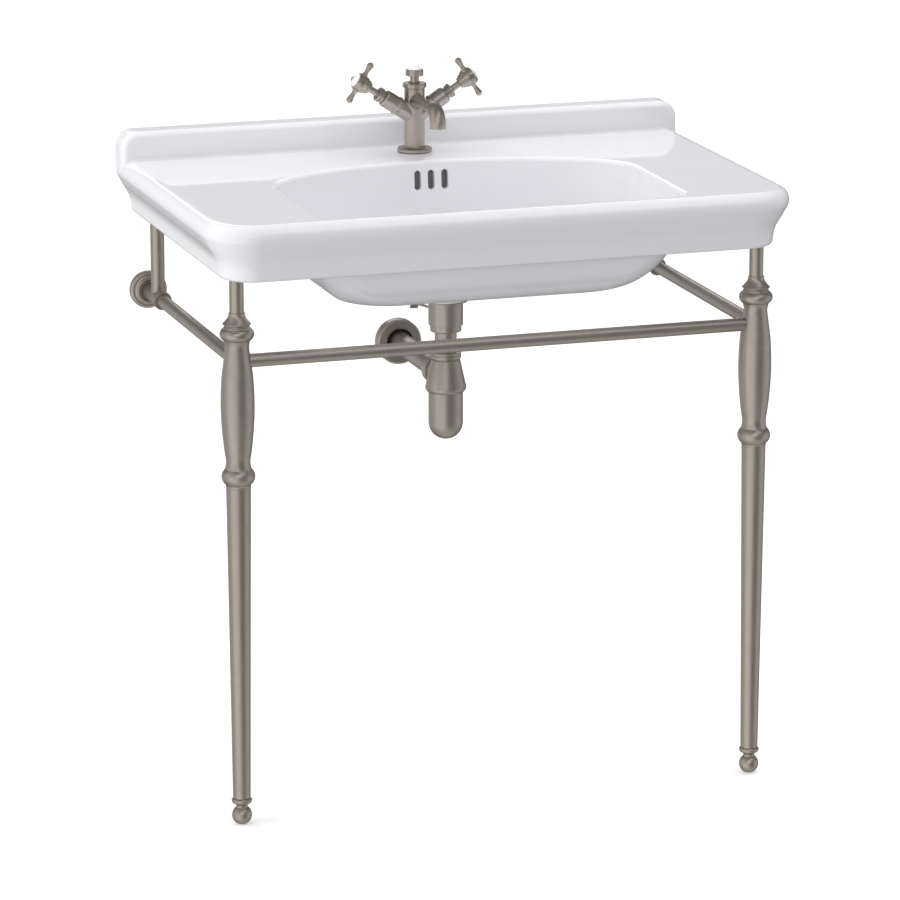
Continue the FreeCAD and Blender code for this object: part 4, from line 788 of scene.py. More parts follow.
def baluster_profile():
    """The turned upper leg about the rail's height: neck, ring, bead, urn, waist and foot bead."""
    return trace(
        (0, 69.0),
        ("line", (11.2, 69.0)),
        ("curve", (11.9, 63.5), (15.3, 58.2), (19.7, 53.6)),
        ("line", (19.7, 52.6), (17.0, 50.9), (17.0, 49.9), (18.4, 48.6), (18.4, 47.2)),
        ("arc", (23.6, 41.2), (18.9, 30.6)),
        ("curve", (17.2, 25), (16.7, 19), (18.0, 8), (19.6, -4), (22.0, -23), (23.5, -62), (22.1, -95),
         (19.2, -124), (17.0, -139), (17.1, -144), (17.9, -149)),
        ("line", (18.4, -151.4)),
        ("arc", (23.4, -162), (18.2, -173)),
        ("line", (17.4, -175), (17.4, -177.4), (0, -177.4)),
        edge=0.5,
    )


def lower_leg_profile():
    """The long straight taper between baluster and foot."""
    return trace((0, 487.6), ("line", (17.2, 487.6), (12.3, 38.5), (0, 38.5)), edge=0.5)


def foot_profile():
    """Collar, neck and ball of the levelling foot."""
    ball, flat, neck = 14.0, 0.5, 8.3
    low = math.sqrt(ball**2 - (ball - flat) ** 2)
    join = ball - flat + math.sqrt(ball**2 - neck**2)
    return trace(
        (0, 0),
        ("line", (low, 0)),
        ("arc", (ball, ball - flat), (neck, join)),
        ("arc", (neck - 0.3, 27.0), (neck + 0.9, 29.4)),
        ("line", (12.4, 31.2)),
        ("arc", (14.3, 34.4), (12.6, 38.2)),
        ("line", (5.0, 38.2), (5.0, 46.0), (0, 46.0)),
        edge=0.3,
    )


def post_top(context):
    """How far above the rails the posts end, in millimetres."""
    height = deck_height(context.scene.console_basin) - context.scene.console_stand.rail_z
    return height / MM - POST_TOP_DROP


class CONSOLE_OT_legs(bpy.types.Operator):
    """Builds the two front legs: post, baluster, tapered leg and ball foot"""

    bl_idname = "console.legs"
    bl_label = "Legs"

    def execute(self, context):
        stand = context.scene.console_stand
        nickel = finish("brushed_nickel")
        out = BASIN_HIGH.y - stand.leg_out
        top = post_top(context)
        post = trace((0, 50.0), ("line", (POST_RADIUS, 50.0), (POST_RADIUS, top), (0, top)))
        for side, name in ((-1, "left"), (1, "right")):
            x = side * stand.leg_x
            on_rail, on_floor = (x, out, stand.rail_z), (x, out, 0.0)
            baluster = lathe(baluster_profile(), on_rail, around=96)
            taper = lathe(lower_leg_profile(), on_floor, around=80)
            foot = lathe(foot_profile(), on_floor, around=80)
            make_piece("baluster_" + name, [baluster], nickel, ["leg_baluster_" + name])
            make_piece("tapered_leg_" + name, [taper], nickel, ["leg_lower_" + name])
            make_piece("ball_foot_" + name, [foot], nickel, ["levelling_foot_" + name], body="foot_" + name)
            make_piece("post_" + name, [lathe(post, on_rail, around=56)], nickel, ["front_post_" + name])
        return {"FINISHED"}


def rod_profile(radius, low, high, edge=0.4):
    """A plain round bar."""
    return trace((0, low), ("line", (radius, low), (radius, high), (0, high)), edge=edge)


def ring_profile(inner, outer, low, high, edge=0.4):
    """A plain ring or tube."""
    return trace((inner, low), ("line", (outer, low), (outer, high), (inner, high), (inner, low)), edge=edge)


def tee_profile():
    """The wall tee's body with the ring that holds the side rail."""
    return trace(
        (0, 4.0),
        ("line", (7.0, 4.0), (7.0, 13.0), (11.6, 13.0), (11.6, 83.5), (13.0, 83.5)),
        ("arc", (13.6, 85.75), (13.0, 88.0)),
        ("line", (9.55, 88.0), (9.55, 74.0), (0, 74.0)),
        edge=0.3,
    )


def wall_flange_profile():
    """The moulded cover against the wall, as (radius, distance from the wall)."""
    return trace(
        (11.9, 0),
        ("line", (27.5, 0), (27.5, 3.6)),
        ("arc", (26.3, 8.0), (22.6, 9.4)),
        ("arc", (19.6, 10.4), (18.0, 13.0)),
        ("arc", (17.0, 14.0), (15.4, 13.6)),
        ("line", (14.2, 11.8), (11.9, 11.8), (11.9, 0)),
        edge=0.3,
    )


class CONSOLE_OT_rails(bpy.types.Operator):
    """Builds the rails, the rear posts, the wall tees and their flanges"""

    bl_idname = "console.rails"
    bl_label = "Rails and wall fittings"

    def execute(self, context):
        stand = context.scene.console_stand
        nickel = finish("brushed_nickel")
        wall = BASIN_HIGH.y
        half_span = stand.leg_x / MM - POST_RADIUS
        front_rail = rod_profile(RAIL_RADIUS, -half_span, half_span)
        middle = (0, wall - stand.leg_out, stand.rail_z)
        make_piece("front_rail_tube", [lathe(front_rail, middle, TO_RIGHT, 48)], nickel, ["front_rail"])
        side_rail = rod_profile(RAIL_RADIUS, POST_RADIUS, stand.leg_out / MM - RAIL_END_FROM_WALL)
        rear_post = rod_profile(POST_RADIUS, 0.5, post_top(context))
        for side, name in ((-1, "left"), (1, "right")):
            x = side * stand.leg_x
            at_leg = (x, wall - stand.leg_out, stand.rail_z)
            at_post = (x, wall - REAR_POST_OUT * MM, stand.rail_z)
            at_wall = (x, wall, stand.rail_z)
            fittings = {
                "side_rail_tube_": (lathe(side_rail, at_leg, TO_WALL, 48), "side_rail_"),
                "rear_post_tube_": (lathe(rear_post, at_post, around=56), "rear_post_"),
                "tee_": (lathe(tee_profile(), at_wall, TO_ROOM, 64), "wall_tee_"),
                "flange_": (lathe(wall_flange_profile(), at_wall, TO_ROOM, 88), "wall_flange_"),
            }
            for piece, (surface, node) in fittings.items():
                make_piece(piece + name, [surface], nickel, [node + name])
        return {"FINISHED"}


# ---------------------------------------------------------------- waste and trap
def nut_profile(radius, inner, low, high, bands):
    """A round nut with grooves at the given heights."""
    line = [(radius - 0.8, low), (radius, low + 0.8)]
    for band in bands:
        line += [(radius, band - 1.0), (radius - 0.9, band - 0.4)]
        line += [(radius - 0.9, band + 0.4), (radius, band + 1.0)]
    line += [(radius, high - 0.8), (radius - 0.8, high), (inner, high), (inner, low)]
    return trace((inner, low), ("line", *line), edge=0.25)


WASHER_THICKNESS = 3.0
BOTTLE_RADIUS = 25.0


class CONSOLE_OT_waste(bpy.types.Operator):
    """Builds the waste, the bottle trap, the wall pipe and its round cover"""

    bl_idname = "console.waste"
    bl_label = "Waste and trap"

    def execute(self, context):
        stand, sizes = context.scene.console_stand, context.scene.console_basin
        nickel = finish("brushed_nickel")
        wall = BASIN_HIGH.y
        rim = deck_height(sizes) / MM
        axis = (0, wall - stand.waste_out, 0)
        seat, foot = rim - WASTE_SEAT_DROP, rim - WASTE_FOOT_DROP - WASHER_THICKNESS
        nut_top, cone_foot = foot - 76.0, foot - 135.0

        def upright(name, profile, nodes, material=nickel, body="console", slot="nickel", around=80):
            return make_piece(name, [lathe(profile, axis, around=around)], material, nodes, body, slot)

        washer = ring_profile(20.7, 30.5, foot, foot + WASHER_THICKNESS, edge=0.6)
        upright("washer", washer, ["waste_washer"], finish("white_plastic"), slot="white_plastic")
        sleeve = trace(
            (17.5, foot),
            ("line", (31.3, foot), (31.3, foot - 2), (25.0, foot - 2), (25.0, foot - 36), (20.0, foot - 36),
             (20.0, foot - 42), (17.5, foot - 42), (17.5, foot)),
        )
        pivot = (0, axis[1], (foot - 21.0) * MM)
        skins = [lathe(sleeve, axis, around=96), lathe(rod_profile(8.5, 20.0, 31.0), pivot, TO_WALL, 40)]
        make_piece("waste_sleeve", skins, nickel, ["waste_body"])
        inlet_nut = trace(
            (16.1, foot - 36),
            ("line", (22.7, foot - 36), (22.7, foot - 44.6), (21.3, foot - 46), (16.1, foot - 46),
             (16.1, foot - 36)),
        )
        upright("inlet_nut", inlet_nut, ["trap_inlet_nut"])
        tube = trace(
            (14.7, foot - 43.9),
            ("line", (15.9, foot - 43.9), (16.0, foot - 169.0), (14.7, foot - 169.0), (14.7, foot - 43.9)),
        )
        upright("inlet_tube", tube, ["trap_inlet_tube"])
        upright("top_nut", nut_profile(22.3, 16.1, nut_top - 9.5, nut_top, [nut_top - 4.2]), ["trap_top_nut"])
        cone = trace(
            (0, nut_top - 3.4),
            ("line", (19.5, nut_top - 3.4), (19.5, nut_top - 11.0), (20.1, nut_top - 11.0),
             (20.9, nut_top - 12.0)),
            ("line", (29.8, cone_foot + 6.6), (29.2, cone_foot + 3.3), (26.5, cone_foot), (24.0, cone_foot),
             (24.0, cone_foot + 14), (0, cone_foot + 14)),
            edge=0.8,
        )
        outlet_base = (0, axis[1], stand.outlet_z)
        branch = lathe(rod_profile(19.0, 2.0, 43.0), outlet_base, TO_WALL, 72)
        make_piece("trap_cone", [lathe(cone, axis, around=96), branch], nickel, ["trap_body"])
        centre = cone_foot - 70.5 + BOTTLE_RADIUS
        slant = BOTTLE_RADIUS * math.sqrt(0.5)
        bottle = trace(
            (0, cone_foot + 13.9),
            ("line", (BOTTLE_RADIUS, cone_foot + 13.9), (BOTTLE_RADIUS, centre)),
            ("arc", (slant, centre - slant), (0, centre - BOTTLE_RADIUS)),
        )
        upright("bottle", bottle, ["trap_bottle"], around=96)
        outlet_nut = lathe(nut_profile(22.3, 16.1, 33.0, 48.0, [43.6]), outlet_base, TO_WALL, 80)
        make_piece("outlet_ring", [outlet_nut], nickel, ["outlet_nut"])
        pipe = ring_profile(14.7, 16.0, 44.0, stand.waste_out / MM)
        make_piece("pipe_to_wall", [lathe(pipe, outlet_base, TO_WALL, 72)], nickel, ["wall_pipe"])
        rose = trace(
            (20.0, 0),
            ("line", (34.0, 0), (34.0, 13.5)),
            ("arc", (33.0, 16.0), (30.5, 17.0)),
            ("line", (20.8, 17.0), (20.0, 16.2), (20.0, 0)),
            edge=0.3,
        )
        on_wall = (0, wall, stand.outlet_z)
        make_piece("pipe_cover", [lathe(rose, on_wall, TO_ROOM, 96)], nickel, ["pipe_rose"])
        seal = lathe(ring_profile(16.1, 19.9, 3.0, 12.5, edge=0.8), on_wall, TO_ROOM, 64)
        make_piece("cover_seal", [seal], finish("black_rubber"), ["pipe_rose_seal"], slot="black_rubber")
        flange = trace(
            (17.5, seat - 28),
            ("line", (20.5, seat - 28), (20.5, seat), (32.0, seat), (32.0, seat + 1.2)),
            ("arc", (30.8, seat + 2.7), (28.5, seat + 3)),
            ("line", (22.6, seat + 2.6), (21.6, seat + 1.4), (17.5, seat + 1.0), (17.5, seat - 28)),
            edge=0.3,
        )
        upright("drain_flange", flange, ["waste_flange"])
        low = seat + 8.6
        plug = trace(
            (0, low),
            ("line", (19.4, low)),
            ("arc", (20.4, low + 0.9), (19.6, low + 2.1)),
            ("curve", (14.0, low + 4.4), (7.0, low + 5.5), (0, low + 5.7)),
            edge=0.2,
        )
        skins = [lathe(plug, axis, around=80), lathe(rod_profile(4.0, low - 48, low), axis, around=32)]
        for turn in (0, math.pi / 2):
            side = np.array([math.cos(turn), math.sin(turn)])
            skins.append(fin_skin(side, low - 36, low + 0.5, 16.9, 1.0, axis))
        make_piece("plug_dome", skins, nickel, ["popup_plug"], body="plug")
        return {"FINISHED"}


def fin_skin(side, low, high, reach, half, base):
    """A thin upright plate from its outline carried up."""
    ahead = np.array([-side[1], side[0]])
    outline = np.array([(-reach, -half), (reach, -half), (reach, half), (-reach, half)])
    flat = outline[:, :1] * side + outline[:, 1:] * ahead
    middle = np.repeat(flat.mean(0, keepdims=True), 4, 0)
    rows = [middle, flat, flat, middle]
    heights = (low, low, high, high)
    points = np.array([np.column_stack([row, np.full(4, z)]) for row, z in zip(rows, heights)])
    return skin(points * MM + np.array(base))


# ---------------------------------------------------------------- tap
ARM_HEIGHT = 51.0
ARM_ANGLE = math.radians(33.2)


def tap_axis(context):
    """The tap's place on the deck."""
    sizes, stand = context.scene.console_basin, context.scene.console_stand
    return Vector((0, BASIN_HIGH.y - stand.tap_out, deck_height(sizes)))


def arm_direction(side):
    """The axis of a valve: -1 for hot on the left, 1 for cold on the right."""
    return Vector((side * math.cos(ARM_ANGLE), 0, math.sin(ARM_ANGLE)))


def spout_skin(deck):
    """Ovals carried along a level run and a quarter bend, flared at the root, swelling to the mouth.

    Radius = 7.8 + 3.9 * sin(pi / 2 * share) past the first part of the run; the root adds a fading flare.
    """
    reach, bend, run_height, mouth = 111.0, 21.0, 78.0, 53.0
    root = 8.0
    straight = reach - bend
    s_run = np.linspace(root, straight, 46)
    s_bend = np.linspace(0, math.pi / 2, 26)[1:]
    drop = run_height - bend - mouth
    s_drop = np.linspace(0, drop, 5)[1:]
    y = np.concatenate([-s_run, -straight - bend * np.sin(s_bend), np.full(len(s_drop), -reach)])
    z = np.concatenate([np.full(len(s_run), run_height), run_height - bend + bend * np.cos(s_bend),
                        run_height - bend - s_drop])
    lean = np.concatenate([0 * s_run, s_bend, np.full(len(s_drop), math.pi / 2)])
    far = np.concatenate([s_run, straight + bend * s_bend, straight + bend * math.pi / 2 + s_drop])
    start = 33.8 + 0.4 * (straight - 33.8)
    whole = far[-1] - start
    grow = np.sin(np.clip((far - start) / whole, 0, 1) * math.pi / 2)
    radius = 7.8 + 3.9 * grow
    flare = np.clip((33.0 - far) / 24.0, 0, 1)
    wide = radius + 3.2 * flare**1.6
    tall = radius + 6.6 * flare**1.9
    z = z - 4.4 * flare**1.9
    inner_z = np.array([mouth, mouth, mouth + 9.0, mouth + 9.0])
    inner_r = np.array([11.3, 10.8, 10.8, 0.0])
    u = np.linspace(0, 2 * math.pi, 64, endpoint=False)
    rows = np.stack([
        wide[:, None] * np.cos(u) + 0 * y[:, None],
        y[:, None] + tall[:, None] * np.sin(u) * -np.sin(lean)[:, None],
        z[:, None] + tall[:, None] * np.sin(u) * np.cos(lean)[:, None],
    ], -1)
    inner = np.stack([inner_r[:, None] * np.cos(u), -reach - inner_r[:, None] * np.sin(u),
                      inner_z[:, None] + 0 * u], -1)
    first = np.repeat(rows[:1].mean(1, keepdims=True), len(u), 1)
    return skin(np.concatenate([first, rows, inner]) * MM + np.array(deck))


class CONSOLE_OT_tap(bpy.types.Operator):
    """Builds the tap's cast body, its spout, cap and lifting knob"""

    bl_idname = "console.tap"
    bl_label = "Tap"

    def execute(self, context):
        deck = tap_axis(context)
        nickel = finish("brushed_nickel")
        column = trace(
            (0, 0.8),
            ("line", (25.3, 0.8), (25.3, 4.2)),
            ("arc", (24.8, 5.3), (23.5, 5.8)),
            ("line", (20.0, 5.9)),
            ("arc", (16.2, 7.6), (14.8, 11.6)),
            ("line", (14.8, 94.0), (0, 94.0)),
            edge=0.3,
        )
        spigot = rod_profile(16.5, -8.0, 1.5)
        skins = [lathe(column, deck, around=120), lathe(spigot, deck, around=72)]
        arm = trace((0, 0.0), ("line", (13.4, 0.0), (12.3, 29.6), (0, 29.6)), edge=0.2)
        base = deck + Vector((0, 0, ARM_HEIGHT * MM))
        for side in (-1, 1):
            skins.append(lathe(arm, base, arm_direction(side), 96))
        cast = fuse_skins("tap_casting", skins, 0.00055, 4)
        place("tap_casting", cast, finish("cast_nickel"), "console", ["tap_body"], "nickel")
        make_piece("tap_outlet", [spout_skin(deck)], nickel, ["tap_spout"])
        cap = trace(
            (6.36, 94.0),
            ("line", (16.4, 94.0), (17.2, 94.8), (17.2, 100.0), (16.4, 100.8), (8.9, 100.8), (8.7, 96.0),
             (6.36, 96.0), (6.36, 94.0)),
            edge=0.3,
        )
        make_piece("cap_ring", [lathe(cap, deck, around=88)], nickel, ["tap_cap"])
        rod = trace((0, -100.0), ("line", (2.4, -100.0), (2.4, 52.0), (6.3, 52.0), (6.3, 113.0), (0, 113.0)))
        make_piece("lift_stem", [lathe(rod, deck, around=48)], nickel, ["lift_rod"], body="lift")
        knob = trace(
            (6.0, 111.1),
            ("line", (11.4, 111.1)),
            ("arc", (12.4, 111.5), (12.8, 112.5)),
            ("line", (12.8, 119.7)),
            ("arc", (12.5, 120.4), (11.8, 120.7)),
            ("line", (11.3, 120.7), (11.3, 118.2), (6.0, 118.2), (6.0, 111.1)),
            edge=0.25,
        )
        make_piece("knob_ring", [lathe(knob, deck, around=80)], nickel, ["lift_knob"], body="lift")
        button = trace(
            (0, 118.3),
            ("line", (11.2, 118.3), (11.2, 121.1)),
            ("curve", (9.6, 122.9), (6.6, 124.6), (3.2, 125.5), (0, 125.7)),
            edge=0.5,
        )
        dome, white = lathe(button, deck, around=72), finish("index_glaze")
        make_piece("knob_dome", [dome], white, ["knob_button"], body="lift", slot="index_ceramic")
        return {"FINISHED"}


def bonnet_profile():
    """A valve's cover along its arm: ring, barrel with a round shoulder, thin neck."""
    return trace(
        (8.7, 29.6),
        ("line", (13.0, 29.6)),
        ("arc", (13.9, 31.9), (13.0, 34.2)),
        ("line", (12.6, 34.6), (12.6, 52.7)),
        ("arc", (11.3, 55.9), (8.4, 57.2)),
        ("line", (8.4, 63.2), (4.86, 63.2), (4.86, 29.6), (8.7, 29.6)),
        edge=0.3,
    )


def gland_profile():
    """The nut with two rims between a bonnet and its spindle."""
    return trace(
        (4.86, 60.2),
        ("line", (9.8, 60.2), (10.6, 61.0), (10.6, 62.0), (9.4, 62.6), (9.4, 63.2), (10.8, 63.8),
         (10.8, 66.2), (9.8, 67.2), (4.86, 67.2), (4.86, 60.2)),
        edge=0.2,
    )


def hub_profile():
    """The handle's stepped hub with the seat for its index."""
    return trace(
        (4.95, 82.0),
        ("line", (8.4, 82.0), (8.4, 85.4), (10.5, 85.4), (10.5, 89.4), (11.5, 89.4), (12.3, 90.2),
         (12.3, 105.2), (11.5, 106.0), (10.6, 106.0), (10.6, 103.4), (4.95, 103.4), (4.95, 82.0)),
        edge=0.3,
    )


def handle_arm_profile():
    """An arm of the cross: a flared root, a slim neck and a ball."""
    ball, radius, join = 28.7, 4.8, math.radians(25)
    start = (radius * math.cos(join), ball - radius * math.sin(join))
    half = (math.pi / 2 - join) / 2
    middle = (radius * math.cos(half), ball + radius * math.sin(half))
    return trace(
        (0, 8.3),
        ("line", (5.6, 8.3), (5.6, 12.6)),
        ("curve", (3.7, 14.7), (3.1, 18.5), (3.6, 22.3), start),
        ("arc", middle, (0, ball + radius)),
        edge=0.25,
    )


def index_letters(name, text, base, axis, up):
    """Small printed letters laid on an index's dome: height = dome at their distance from the middle."""
    curve = bpy.data.curves.new(name, "FONT")
    curve.body = text
    curve.size = 0.0052
    curve.align_x = "CENTER"
    curve.align_y = "CENTER"
    curve.resolution_u = 3
    letters = bpy.data.objects.new(name, curve)
    bpy.context.scene.collection.objects.link(letters)
    graph = bpy.context.evaluated_depsgraph_get()
    mesh = bpy.data.meshes.new_from_object(letters.evaluated_get(graph))
    bpy.data.objects.remove(letters)
    work = bmesh.new()
    work.from_mesh(mesh)
    bmesh.ops.triangulate(work, faces=work.faces)
    bmesh.ops.subdivide_edges(work, edges=work.edges, cuts=1)
    work.to_mesh(mesh)
    work.free()
    flat = np.zeros(len(mesh.vertices) * 3, np.float32)
    mesh.vertices.foreach_get("co", flat)
    flat = flat.reshape(-1, 3).astype(float)
    rise, radius = 4.2 * MM, 10.4 * MM
    sphere = (radius**2 + rise**2) / (2 * rise)
    out = np.sqrt(sphere**2 - flat[:, 0] ** 2 - flat[:, 1] ** 2) - sphere + rise
    z = np.array(Vector(axis).normalized())
    y = np.array(up) - z * (np.array(up) @ z)
    y = y / np.linalg.norm(y)
    x = np.cross(y, z)
    height = 106.4 * MM + out + 0.00005
    places = np.array(base) + flat[:, :1] * x + flat[:, 1:2] * y + height[:, None] * z
    mesh.vertices.foreach_set("co", places.astype(np.float32).ravel())
    mesh.update()
    return mesh


class CONSOLE_OT_valves(bpy.types.Operator):
    """Builds the valve bonnets, gland nuts, spindles, cross handles and white indices"""

    bl_idname = "console.valves"
    bl_label = "Valves and handles"

    def execute(self, context):
        deck = tap_axis(context)
        nickel = finish("brushed_nickel")
        base = deck + Vector((0, 0, ARM_HEIGHT * MM))
        glands = []
        for side, name, text in ((-1, "hot", "HOT"), (1, "cold", "COLD")):
            axis = arm_direction(side)
            body = name + "_valve"
            cover = lathe(bonnet_profile(), base, axis, 80)
            make_piece(name + "_cover", [cover], nickel, [name + "_bonnet"])
            glands.append(lathe(gland_profile(), base, axis, 72))
            make_piece(name + "_stem", [lathe(rod_profile(4.8, 22.3, 96.0), base, axis, 40)], nickel,
                       [name + "_spindle"], body=body)
            crosses = [lathe(hub_profile(), base, axis, 88)]
            middle = base + axis * (98.6 * MM)
            across = Vector((0, 0, 1)).cross(axis).normalized()
            up = axis.cross(across)
            for direction in (across, -across, up, -up):
                crosses.append(lathe(handle_arm_profile(), middle, direction, 40))
            make_piece(name + "_cross", crosses, nickel, [name + "_handle"], body=body)
            dome = trace((0, 103.1), ("line", (10.4, 103.1), (10.4, 106.4)),
                         ("curve", (8.9, 107.9), (6.2, 109.5), (3.0, 110.4), (0, 110.6)), edge=0.5)
            index = lathe(dome, base, axis, 72)
            make_piece(name + "_dome", [index], finish("index_glaze"), [name + "_index"], body=body,
                       slot="index_ceramic")
            letters = index_letters(name + "_letters", text, base, axis, up)
            place(name + "_letters", letters, finish("index_print"), body, [], "black_rubber")
        make_piece("gland_rings", glands, nickel, ["gland_nuts"])
        return {"FINISHED"}


# ---------------------------------------------------------------- carried-over solids
class CONSOLE_OT_small_parts(bpy.types.Operator):
    """Gives the solids that stay as they are their finishes"""

    bl_idname = "console.small_parts"
    bl_label = "Small parts"

    def execute(self, context):
        finishes = {
            "turned_brass": ["tap_stud", "tap_nut", "strap_screw"],
            "zinc_plate": ["tap_clamp_plate", "wall_plates"],
            "white_plastic": ["valve_cartridges", "tap_aerator"],
            "black_rubber": ["tap_base_seal", "plug_seal", "trap_seals", "post_pads"],
            "cast_nickel": ["lever_nut", "popup_lever", "linkage_strap"],
        }
        for name, nodes in finishes.items():
            for node in nodes:
                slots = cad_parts[node].data.materials
                slots.clear()
                slots.append(finish(name))
        return {"FINISHED"}


# ---------------------------------------------------------------- stage
# The camera as recovered from the photograph's lines.
VIEW_YAW = math.radians(17.956)
VIEW_PITCH = math.radians(14.312)
EYE = (-2.156, -6.635, 2.239)
LENS = 200.0
SENSOR_WIDTH = 36.0
FLOOR_HALF = 24.0
CLIP_END = 60.0
STUDIO_BASE = 0.22
STUDIO_LEVEL = 0.72
FLOOR_BOUNCE = (0.55, 0.55, 0.55)
# The floor's glow: from and to which distance in metres, and its level near and far.
FLOOR_FADE = (1.5, 8.0, 0.29, 0.50)
# Each lamp: place, target, width and height in metres, watts.
LAMPS = {
    "key_light": ((-3.6, -0.3, 1.0), (0, 0, 0.75), (2.4, 1.4), 66),
    "top_light": ((0.5, 0.5, 3.6), (0, 0, 0.6), (3.0, 2.4), 56),
    "front_light": ((-0.9, -4.2, 2.3), (0, 0, 0.8), (1.8, 1.4), 15),
}
# Each field: azimuth, elevation and half-width in degrees, level.
STUDIO_FIELDS = (
    (-140.0, -14.0, 46.0, 0.66),
    (-15.0, -10.0, 45.0, 0.38),
    (165.0, -12.0, 50.0, 0.34),
    (108.0, -8.0, 26.0, 0.34),
    (-62.0, 52.0, 20.0, 0.85),
    (-100.0, -75.0, 60.0, 0.35),
    (180.0, 35.0, 40.0, 0.35),
    (70.0, 23.0, 6.5, 2.2),
    (79.0, 23.0, 6.5, 2.2),
    (88.0, 23.0, 6.5, 2.2),
    (-105.0, 28.0, 24.0, 1.1),
    (72.0, 12.0, 10.0, 0.12),
)


def aim(thing, place, target):
    """Puts a thing at a place and points its -Z at the target."""
    thing.location = place
    thing.rotation_euler = (Vector(target) - Vector(place)).to_track_quat("-Z", "Y").to_euler()


def softbox(name, place, target, size, power):
    """An area lamp that isn't seen in reflections."""
    lamp = bpy.data.lights.new(name, "AREA")
    lamp.shape = "RECTANGLE"
    lamp.size, lamp.size_y = size
    lamp.energy = power
    holder = bpy.data.objects.new(name, lamp)
    holder.visible_glossy = False
    bpy.context.scene.collection.objects.link(holder)
    aim(holder, place, target)
    return holder


def studio_glow(nodes, links):
    """The studio as shiny surfaces see it: grey, with soft brighter fields about a few directions.

    Brightness = base + sum of level * smooth step of the cosine to each field's direction.
    """
    direction = nodes.new("ShaderNodeTexCoord").outputs["Generated"]
    total = None
    for azimuth, elevation, width, level in STUDIO_FIELDS:
        a, e = math.radians(azimuth), math.radians(elevation)
        towards = nodes.new("ShaderNodeVectorMath")
        towards.operation = "DOT_PRODUCT"
        towards.inputs[1].default_value = (math.cos(a) * math.cos(e), math.sin(a) * math.cos(e), math.sin(e))
        links.new(direction, towards.inputs[0])
        fade = nodes.new("ShaderNodeMapRange")
        fade.interpolation_type = "SMOOTHSTEP"
        fade.inputs["From Min"].default_value = math.cos(math.radians(width))
        fade.inputs["From Max"].default_value = math.cos(math.radians(width * 0.25))
        fade.inputs["To Max"].default_value = level
        links.new(towards.outputs["Value"], fade.inputs["Value"])
        add = nodes.new("ShaderNodeMath")
        add.operation = "ADD"
        links.new(fade.outputs["Result"], add.inputs[0])
        if total is None:
            add.inputs[1].default_value = STUDIO_BASE
        else:
            links.new(total, add.inputs[1])
        total = add.outputs["Value"]
    return total


def studio_world(level):
    """Even soft light; the camera sees a white backdrop, and shiny surfaces see the studio round it."""
    world = bpy.data.worlds.new("studio")
    bpy.context.scene.world = world
    world.use_nodes = True
    nodes, links = world.node_tree.nodes, world.node_tree.links
    background = nodes["Background"]
    background.inputs["Color"].default_value = (1, 1, 1, 1)
    background.inputs["Strength"].default_value = level
    rays = nodes.new("ShaderNodeLightPath")
    glow = studio_glow(nodes, links)
    shown = nodes.new("ShaderNodeMix")
    links.new(rays.outputs["Is Camera Ray"], shown.inputs["Factor"])
    links.new(glow, shown.inputs["A"])
    shown.inputs["B"].default_value = 1.0
    backdrop = nodes.new("ShaderNodeBackground")
    links.new(shown.outputs["Result"], backdrop.inputs["Color"])
    backdrop.inputs["Strength"].default_value = 1.0
    seen = rays.outputs["Is Camera Ray"]
    for other in ("Is Glossy Ray", "Is Transmission Ray"):
        either = nodes.new("ShaderNodeMath")
        either.operation = "MAXIMUM"
        links.new(seen, either.inputs[0])
        links.new(rays.outputs[other], either.inputs[1])
        seen = either.outputs["Value"]
    mix = nodes.new("ShaderNodeMixShader")
    links.new(seen, mix.inputs["Fac"])
    links.new(background.outputs["Background"], mix.inputs[1])
    links.new(backdrop.outputs["Background"], mix.inputs[2])
    links.new(mix.outputs["Shader"], nodes["World Output"].inputs["Surface"])


def floor_material(base):
    """A pale floor: it keeps shadows and fades into white further off; only the camera sees that glow.

    Other surfaces get its plain bounce, and shiny ones see the studio through it.
    """
    material, nodes, links, shader = new_material("studio_floor")
    shader.inputs["Base Color"].default_value = (*base, 1)
    shader.inputs["Roughness"].default_value = 0.9
    bounce = nodes.new("ShaderNodeBsdfDiffuse")
    bounce.inputs["Color"].default_value = (*FLOOR_BOUNCE, 1)
    place = nodes.new("ShaderNodeTexCoord")
    far = nodes.new("ShaderNodeVectorMath")
    far.operation = "LENGTH"
    links.new(place.outputs["Object"], far.inputs[0])
    fade = nodes.new("ShaderNodeMapRange")
    for key, value in zip(("From Min", "From Max", "To Min", "To Max"), FLOOR_FADE):
        fade.inputs[key].default_value = value
    links.new(far.outputs["Value"], fade.inputs["Value"])
    glow = nodes.new("ShaderNodeEmission")
    glow.inputs["Color"].default_value = (1, 1, 1, 1)
    links.new(fade.outputs["Result"], glow.inputs["Strength"])
    add = nodes.new("ShaderNodeAddShader")
    rays = nodes.new("ShaderNodeLightPath")
    mix = nodes.new("ShaderNodeMixShader")
    clear = nodes.new("ShaderNodeBsdfTransparent")
    see_through = nodes.new("ShaderNodeMixShader")
    links.new(shader.outputs["BSDF"], add.inputs[0])
    links.new(glow.outputs["Emission"], add.inputs[1])
    links.new(rays.outputs["Is Camera Ray"], mix.inputs["Fac"])
    links.new(bounce.outputs["BSDF"], mix.inputs[1])
    links.new(add.outputs["Shader"], mix.inputs[2])
    links.new(rays.outputs["Is Glossy Ray"], see_through.inputs["Fac"])
    links.new(mix.outputs["Shader"], see_through.inputs[1])
    links.new(clear.outputs["BSDF"], see_through.inputs[2])
    links.new(see_through.outputs["Shader"], nodes["Material Output"].inputs["Surface"])
    return material


